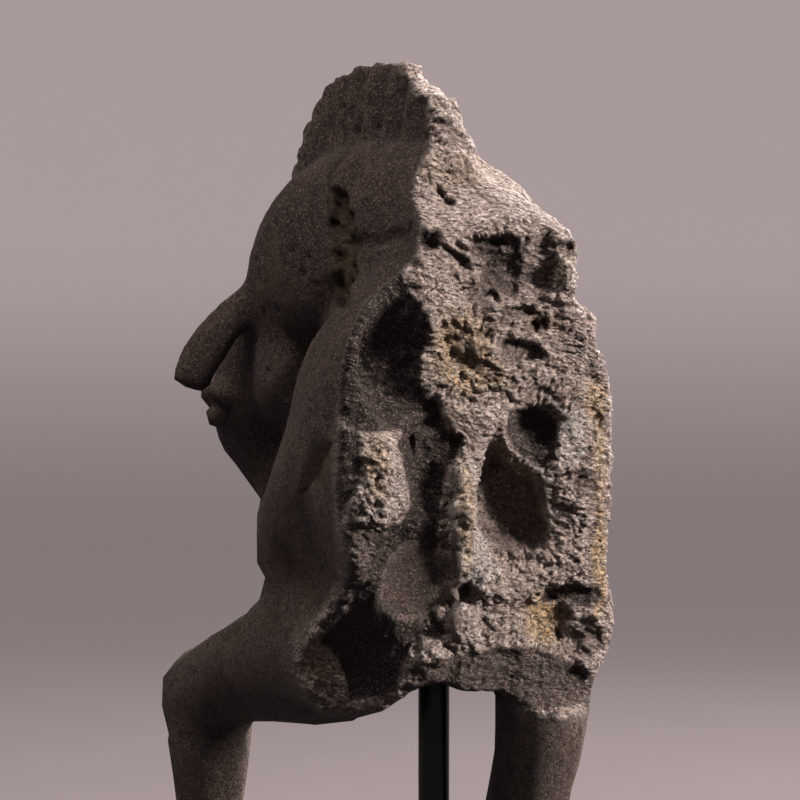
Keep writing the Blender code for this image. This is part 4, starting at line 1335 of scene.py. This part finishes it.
def stone_material(grit, drift, dust, wear):
    """Dark sandy skin and paler crumbled break, stained with ochre, with painted shade in hollows and dark
    places and painted light on lit lips and ridges.
    """
    made, nodes, shader = new_material("carved_stone_skin_and_break")
    place = nodes.in_millimetres()
    broken = nodes.noted("broken")
    hollow = nodes.noted("hollow")
    worn = nodes.noted("worn")

    sand = nodes.group(grit, Vector=place, Grains_per_mm=1.15, Light_share=0.45)
    skin = nodes.group(
        drift, Vector=place, Patch_mm=26.0, Mottle_mm=3.2, **SKIN_COLOURS
    )["Colour"]
    # Real pores and grains, made stronger as painted shade and glints of light grazing the grit
    skin = nodes.blend(nodes.math("MULTIPLY", sand["Pores"], 0.95), skin, SKIN_PORE_AND_PAINTED_SHADE)
    skin = nodes.blend(nodes.math("MULTIPLY", sand["Light grains"], 0.92), skin, SKIN_GRAIN_AND_PAINTED_GLINT)
    # Painted shade in the skin's recesses
    skin = nodes.blend(nodes.math("MULTIPLY", hollow, 0.5), skin, SKIN_HOLLOW_PAINTED_SHADE)
    rubbed = nodes.group(wear, Vector=place, Edge=worn, Scuff_mm=3.0, Amount=0.5)["Mask"]
    skin = nodes.blend(rubbed, skin, SKIN_RUBBED)
    stained = nodes.rise(nodes.noise(place, 0.25, 4.0, 0.6), 0.42, 0.6)
    split = nodes.blend(stained, CRACK_DARK, CRACK_RUST)
    skin = nodes.blend(nodes.noted("crack"), skin, split)
    streak = nodes.rise(nodes.noise(place, 0.16, 4.0, 0.6), 0.35, 0.65, 0.3, 1.0)
    skin = nodes.blend(nodes.math("MULTIPLY", nodes.noted("streak"), streak), skin, YELLOW_STREAK)

    slanting = nodes.stretched(place, (0.62, 1.0, 1.2), (0.0, 0.5, 0.0))
    crumb = nodes.group(grit, Vector=slanting, Grains_per_mm=1.0, Light_share=0.4)
    face = nodes.group(
        drift, Vector=place, Patch_mm=15.0, Mottle_mm=2.0, **BREAK_COLOURS
    )["Colour"]
    face = nodes.blend(nodes.rise(crumb["Own"], 0.0, 1.0, 0.0, 0.5), face, BREAK_CRUMB)
    # Pale stone and painted light on the lit lips, ridges and crumbs
    face = nodes.blend(nodes.math("MULTIPLY", nodes.noted("pale"), 0.6), face, BREAK_PALE_AND_PAINTED_LIGHT)
    ochre_mottle = nodes.rise(nodes.noise(place, 0.35, 4.0, 0.65), 0.3, 0.62, 0.3, 1.0)
    ochre = nodes.math("MULTIPLY", nodes.noted("ochre"), ochre_mottle)
    face = nodes.blend(ochre, face, BREAK_OCHRE)
    face = nodes.blend(nodes.math("MULTIPLY", crumb["Pores"], 0.9), face, BREAK_PORE)
    face = nodes.blend(nodes.math("MULTIPLY", crumb["Light grains"], 0.6), face, BREAK_GRAIN)
    # Painted shade in the break's recesses
    face = nodes.blend(nodes.math("MULTIPLY", hollow, 0.55), face, BREAK_HOLLOW_PAINTED_SHADE)
    chipped = nodes.group(wear, Vector=place, Edge=worn, Scuff_mm=1.6, Amount=0.55)["Mask"]
    face = nodes.blend(chipped, face, BREAK_CHIPPED)

    # Painted shade: the dark outlined places of the break take the skin's colour and, where deepest, a
    # near-black brown that spares the light grains
    shade_mottle = nodes.rise(nodes.noise(place, 0.3, 4.0, 0.6), 0.3, 0.7, 0.82, 1.0)
    break_outside_painted_shade = nodes.math("SUBTRACT", 1.0, nodes.math("MULTIPLY", nodes.noted("shade_and_dark_stone"), shade_mottle))
    colour = nodes.blend(nodes.math("MULTIPLY", broken, break_outside_painted_shade), skin, face)
    deepest_painted_shade = nodes.rise(nodes.noted("shade_and_dark_stone"), 0.45, 0.95, 0.0, 0.86)
    kept_light = nodes.math("MULTIPLY_ADD", sand["Light grains"], -0.7, 1.0)
    colour = nodes.blend(nodes.math("MULTIPLY", deepest_painted_shade, kept_light), colour, BREAK_PAINTED_SHADE)
    lying = nodes.group(dust, Vector=place, Amount=0.14, Patch_mm=9.0)["Mask"]
    colour = nodes.blend(lying, colour, STONE_DUST)
    nodes.put(shader.inputs["Base Color"], colour)
    rough = nodes.rise(sand["Own"], 0.0, 1.0, 0.78, 0.95)
    nodes.put(shader.inputs["Roughness"], rough)
    shader.inputs["Specular IOR Level"].default_value = 0.3

    flakes = nodes.noise(slanting, 0.42, 7.0, 0.66, 0.5)
    drawn = nodes.add("ShaderNodeTexNoise", Vector=place, Scale=0.035, Detail=2.0).outputs["Color"]
    bent = nodes.add("ShaderNodeVectorMath", {"operation": "MULTIPLY_ADD"}, Vector=drawn)
    bent.inputs[1].default_value = SCALE_BEND
    nodes.put(bent.inputs[2], place)
    scales = nodes.stretched(bent.outputs[0], (0.4, 1.0, 1.0), (0.0, 0.35, 0.0))
    chips = nodes.cells(scales, 0.27).outputs["Distance"]
    broad_scales = nodes.cells(scales, 0.55).outputs["Distance"]
    narrow_scales = nodes.cells(scales, 1.05).outputs["Distance"]
    break_height = nodes.math("MULTIPLY", crumb["Height"], CRUMB_RISE)
    for form, rise in (
        (flakes, FLAKE_RISE), (chips, CHIP_RISE), (broad_scales, BROAD_SCALE_RISE),
        (narrow_scales, NARROW_SCALE_RISE),
    ):
        break_height = nodes.math("MULTIPLY_ADD", form, rise, break_height)
    pits = nodes.noise(place, 0.5, 5.0, 0.7)
    skin_height = nodes.math("MULTIPLY", sand["Height"], SAND_RISE)
    skin_height = nodes.math("MULTIPLY_ADD", pits, SKIN_PIT_RISE, skin_height)
    height = nodes.tree.nodes.new("ShaderNodeMix")
    height.data_type = "FLOAT"
    nodes.put(height.inputs["Factor"], broken)
    nodes.put(height.inputs[2], skin_height)
    nodes.put(height.inputs[3], break_height)
    bump = nodes.add("ShaderNodeBump", Strength=1.0, Distance=PART, Height=height.outputs[0])
    nodes.put(shader.inputs["Normal"], bump.outputs["Normal"])
    return made


# Black satin paint, the dust on it and the height of its orange peel in millimetres
PAINT_COLOURS = {
    "Main": (0.0045, 0.0045, 0.0055), "Second": (0.0060, 0.0058, 0.0062),
    "Third": (0.0035, 0.0035, 0.0040),
}
PAINT_DUST = (0.16, 0.135, 0.12)
PEEL_RISE = 0.012
POWDER_RISE = 0.02


def paint_material(name, dust, drift, grit, dust_amount, roughness):
    """Black satin paint on steel, with an orange-peel face and dust on it."""
    made, nodes, shader = new_material(name)
    place = nodes.in_millimetres()
    coat = nodes.group(
        drift, Vector=place, Patch_mm=30.0, Mottle_mm=4.0, **PAINT_COLOURS
    )["Colour"]
    lying = nodes.group(dust, Vector=place, Amount=dust_amount, Patch_mm=7.0)["Mask"]
    specks = nodes.group(grit, Vector=place, Grains_per_mm=0.5, Light_share=0.05)["Light grains"]
    specks = nodes.math("MULTIPLY", specks, nodes.math("MULTIPLY", lying, 6.0))
    powder = nodes.math("MAXIMUM", lying, specks)
    colour = nodes.blend(powder, coat, PAINT_DUST)
    nodes.put(shader.inputs["Base Color"], colour)
    smears = nodes.noise(nodes.stretched(place, (1.0, 1.0, 0.15)), 0.12, 5.0, 0.6)
    rough = nodes.rise(smears, 0.3, 0.7, roughness - 0.02, roughness + 0.04)
    rough = nodes.math("ADD", rough, nodes.math("MULTIPLY", powder, 0.4))
    nodes.put(shader.inputs["Roughness"], rough)
    peel = nodes.math("MULTIPLY", powder, POWDER_RISE)
    peel = nodes.math("MULTIPLY_ADD", nodes.noise(place, 0.9, 2.0, 0.5), PEEL_RISE, peel)
    shader.inputs["Specular IOR Level"].default_value = 0.2
    bump = nodes.add("ShaderNodeBump", Strength=1.0, Distance=PART, Height=peel)
    nodes.put(shader.inputs["Normal"], bump.outputs["Normal"])
    return made


# Studio paper: its colours and its glow, painted light that stands in for studio light on the paper, darker
# near the floor and full from GLOW_RISE millimetres up
PAPER_COLOURS = {
    "Main": (0.052, 0.043, 0.043), "Second": (0.050, 0.041, 0.041), "Third": (0.054, 0.045, 0.045),
}
PAPER_LOW_GLOW = (0.205, 0.168, 0.169)
PAPER_HIGH_GLOW = (0.378, 0.310, 0.311)
GLOW_RISE = 420.0


def floor_material(drift):
    """Pale mauve-grey studio paper, glowing with painted light that is darker towards the floor."""
    made, nodes, shader = new_material("studio_paper")
    place = nodes.in_millimetres()
    colour = nodes.group(
        drift, Vector=place, Patch_mm=900.0, Mottle_mm=140.0, **PAPER_COLOURS
    )["Colour"]
    nodes.put(shader.inputs["Base Color"], colour)
    shader.inputs["Roughness"].default_value = 0.95
    shader.inputs["Specular IOR Level"].default_value = 0.1
    # Painted light: the paper glows in place of studio light on it, with painted shade towards the floor
    height = nodes.add("ShaderNodeSeparateXYZ", Vector=place).outputs["Z"]
    glow = nodes.blend(nodes.rise(height, 0.0, GLOW_RISE), PAPER_LOW_GLOW, PAPER_HIGH_GLOW)
    nodes.put(shader.inputs["Emission Color"], glow)
    shader.inputs["Emission Strength"].default_value = 1.0
    return made


def as_piece(name, mesh, material):
    piece = bpy.data.objects.new(name, mesh)
    mesh.materials.clear()
    mesh.materials.append(material)
    bpy.context.scene.collection.objects.link(piece)
    return piece


# Edges that turn by more than this stay sharp on the rod and the plate
SHARP_TURN = math.radians(50)


def finished_mesh(shape, name):
    """The smooth mesh of shape, which is freed."""
    mesh = bpy.data.meshes.new(name)
    shape.to_mesh(mesh)
    shape.free()
    mesh.shade_smooth()
    return mesh


def ring_of_points(shape, middle, reach, height, sides):
    """A level ring of new points round middle."""
    ring = []
    for side in range(sides):
        angle = 2 * math.pi * side / sides
        place = (middle.x + reach * math.cos(angle), middle.y + reach * math.sin(angle), height)
        ring.append(shape.verts.new(place))
    return ring


def build_horse(material):
    """The carved stone, from the CAD horse to its finest crumbs."""
    form = stone_form(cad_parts["stone_horse"])
    carve_break(form)
    level_mane(form)
    form = even_skin(form, DETAIL_SKIN)
    put_points(form, spread(points_of(form), edges_of(form), 1, 0.4))
    carve_surface(form)
    broken = broken_share(form, in_parts(points_of(form)), edges_of(form))
    mesh = fewer_triangles(form, broken)
    note_zones(mesh)
    mesh.name = "carved_horse"
    mesh.shade_smooth()
    horse = as_piece("carved_horse", mesh, material)
    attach(horse, "root")
    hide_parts("stone_horse")


# The rod's sides, and its eased ends in metres and steps
ROD_SIDES = 96
ROD_EASE = 0.001
ROD_EASE_STEPS = 4


def build_rod(material):
    """A turned bar with eased ends, in place of the CAD rod."""
    low, high = (Vector(corner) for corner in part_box("support_rod"))
    radius = (high.x - low.x) / 2
    middle = (low + high) / 2
    straight = radius - ROD_EASE
    foot = low.z + ROD_EASE
    top = high.z - ROD_EASE
    turns = [math.radians(90 * step / ROD_EASE_STEPS) for step in range(ROD_EASE_STEPS + 1)]
    profile = [(straight + ROD_EASE * math.sin(turn), foot - ROD_EASE * math.cos(turn)) for turn in turns]
    profile += [(straight + ROD_EASE * math.cos(turn), top + ROD_EASE * math.sin(turn)) for turn in turns]
    shape = bmesh.new()
    rings = [ring_of_points(shape, middle, reach, height, ROD_SIDES) for reach, height in profile]
    for ring, above in zip(rings, rings[1:]):
        for side in range(ROD_SIDES):
            after = (side + 1) % ROD_SIDES
            shape.faces.new((ring[side], ring[after], above[after], above[side]))
    shape.faces.new(list(reversed(rings[0])))
    shape.faces.new(rings[-1])
    mesh = finished_mesh(shape, "painted_rod")
    mesh.set_sharp_from_angle(angle=SHARP_TURN)
    rod = as_piece("painted_rod", mesh, material)
    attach(rod, "root")
    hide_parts("support_rod")


# The plate's rounded edges in metres and steps
PLATE_EASE = 0.0015
PLATE_EASE_STEPS = 5


def build_plate(material):
    """The base plate with rounded edges, in place of the CAD plate."""
    low, high = (Vector(corner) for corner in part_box("base_plate"))
    size = high - low
    shape = bmesh.new()
    bmesh.ops.create_cube(
        shape, size=1.0,
        matrix=Matrix.Translation((low + high) / 2) @ Matrix.Diagonal((*size, 1.0)),
    )
    bmesh.ops.bevel(
        shape, geom=shape.edges[:], offset=PLATE_EASE, segments=PLATE_EASE_STEPS, affect="EDGES",
        profile=0.5,
    )
    mesh = finished_mesh(shape, "painted_plate")
    mesh.set_sharp_from_angle(angle=SHARP_TURN)
    plate = as_piece("painted_plate", mesh, material)
    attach(plate, "root")
    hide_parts("base_plate")


# The stage in metres: its innermost ring, how far it lies flat, reaches and rises, and its rings
STAGE_MIDDLE = 0.05
STAGE_FLAT = 2.8
STAGE_REACH = 8.0
STAGE_HEIGHT = 7.0
STAGE_RINGS = 60
STAGE_SIDES = 96


def build_stage(material):
    """A wide paper floor that curves up all round."""
    shape = bmesh.new()
    rings = []
    for step in range(STAGE_RINGS + 1):
        reach = STAGE_MIDDLE + STAGE_REACH * step / STAGE_RINGS
        height = STAGE_HEIGHT * float(ease(STAGE_FLAT, STAGE_REACH + 1.0, reach))
        rings.append(ring_of_points(shape, Vector((0.0, 0.0, 0.0)), reach, height, STAGE_SIDES))
    shape.faces.new(rings[0])
    for ring, outer in zip(rings, rings[1:]):
        for side in range(STAGE_SIDES):
            after = (side + 1) % STAGE_SIDES
            shape.faces.new((ring[side], outer[side], outer[after], ring[after]))
    bmesh.ops.recalc_face_normals(shape, faces=shape.faces)
    floor = as_piece("studio_floor", finished_mesh(shape, "studio_floor"), material)
    floor.visible_diffuse = False


def place_camera():
    camera = bpy.data.objects.new("photo_camera", bpy.data.cameras.new("photo_camera"))
    camera.data.sensor_width = SENSOR
    camera.data.lens = LENS
    camera.data.clip_start = CLIP_NEAR
    camera.data.clip_end = CLIP_FAR
    back = Vector(way_to(VIEW_TURN, VIEW_RISE))
    aim = Vector((0.0, BREAK_Y, AIM_Z)) + SIGHT_RIGHT * AIM_ACROSS
    turned = Matrix((SIGHT_RIGHT, back.cross(SIGHT_RIGHT), back)).transposed().to_4x4()
    turned.translation = aim + back * VIEW_DISTANCE
    camera.matrix_world = turned
    bpy.context.scene.collection.objects.link(camera)
    bpy.context.scene.camera = camera


# What the lights aim at, the light's colours, and the strength of the air from below and above
LIT_MIDDLE = Vector((0.0, 0.02, 0.26))
KEY_WHITE = (1.0, 0.965, 0.93)
TOP_WHITE = (1.0, 0.95, 0.92)
FRONT_WHITE = (1.0, 0.95, 0.93)
AIR_COLOUR = (0.95, 0.87, 0.85, 1.0)
AIR_BELOW = 0.035
AIR_ABOVE = 0.19


def soft_box(name, turn, rise, distance, size, power, colour, opening):
    """A square studio light aimed at the stone, from turn and rise, with its opening, in degrees."""
    light = bpy.data.lights.new(name, "AREA")
    light.size = size
    light.spread = math.radians(opening)
    light.energy = power
    light.color = colour
    lamp = bpy.data.objects.new(name, light)
    back = Vector(way_to(math.radians(turn), math.radians(rise)))
    lamp.location = LIT_MIDDLE + back * distance
    lamp.rotation_euler = back.to_track_quat("Z", "Y").to_euler()
    bpy.context.scene.collection.objects.link(lamp)


def light_studio():
    soft_box(
        "key_light", turn=222, rise=27, distance=1.9, size=0.45, power=80.0, colour=KEY_WHITE,
        opening=180,
    )
    soft_box(
        "top_light", turn=92, rise=70, distance=1.05, size=0.5, power=9.0, colour=TOP_WHITE,
        opening=180,
    )
    soft_box(
        "front_light", turn=296, rise=34, distance=2.4, size=0.9, power=52.0, colour=FRONT_WHITE,
        opening=90,
    )
    world = bpy.data.worlds.new("studio_air")
    world.use_nodes = True
    nodes = Nodes(world.node_tree)
    direction = world.node_tree.nodes.new("ShaderNodeTexCoord").outputs["Generated"]
    rise = nodes.add("ShaderNodeSeparateXYZ", Vector=direction).outputs["Z"]
    sky = world.node_tree.nodes["Background"]
    sky.inputs["Color"].default_value = AIR_COLOUR
    nodes.put(sky.inputs["Strength"], nodes.rise(rise, -0.2, 0.9, AIR_BELOW, AIR_ABOVE))
    bpy.context.scene.world = world
    bpy.context.scene.view_settings.view_transform = "Standard"


place_camera()
grit = grit_group()
drift = drift_group()
dust = dust_group()
wear = wear_group()
build_horse(stone_material(grit, drift, dust, wear))
build_rod(paint_material("rod_satin_paint", dust, drift, grit, dust_amount=0.05, roughness=0.33))
build_plate(paint_material("plate_satin_paint", dust, drift, grit, dust_amount=0.1, roughness=0.5))
build_stage(floor_material(drift))
light_studio()
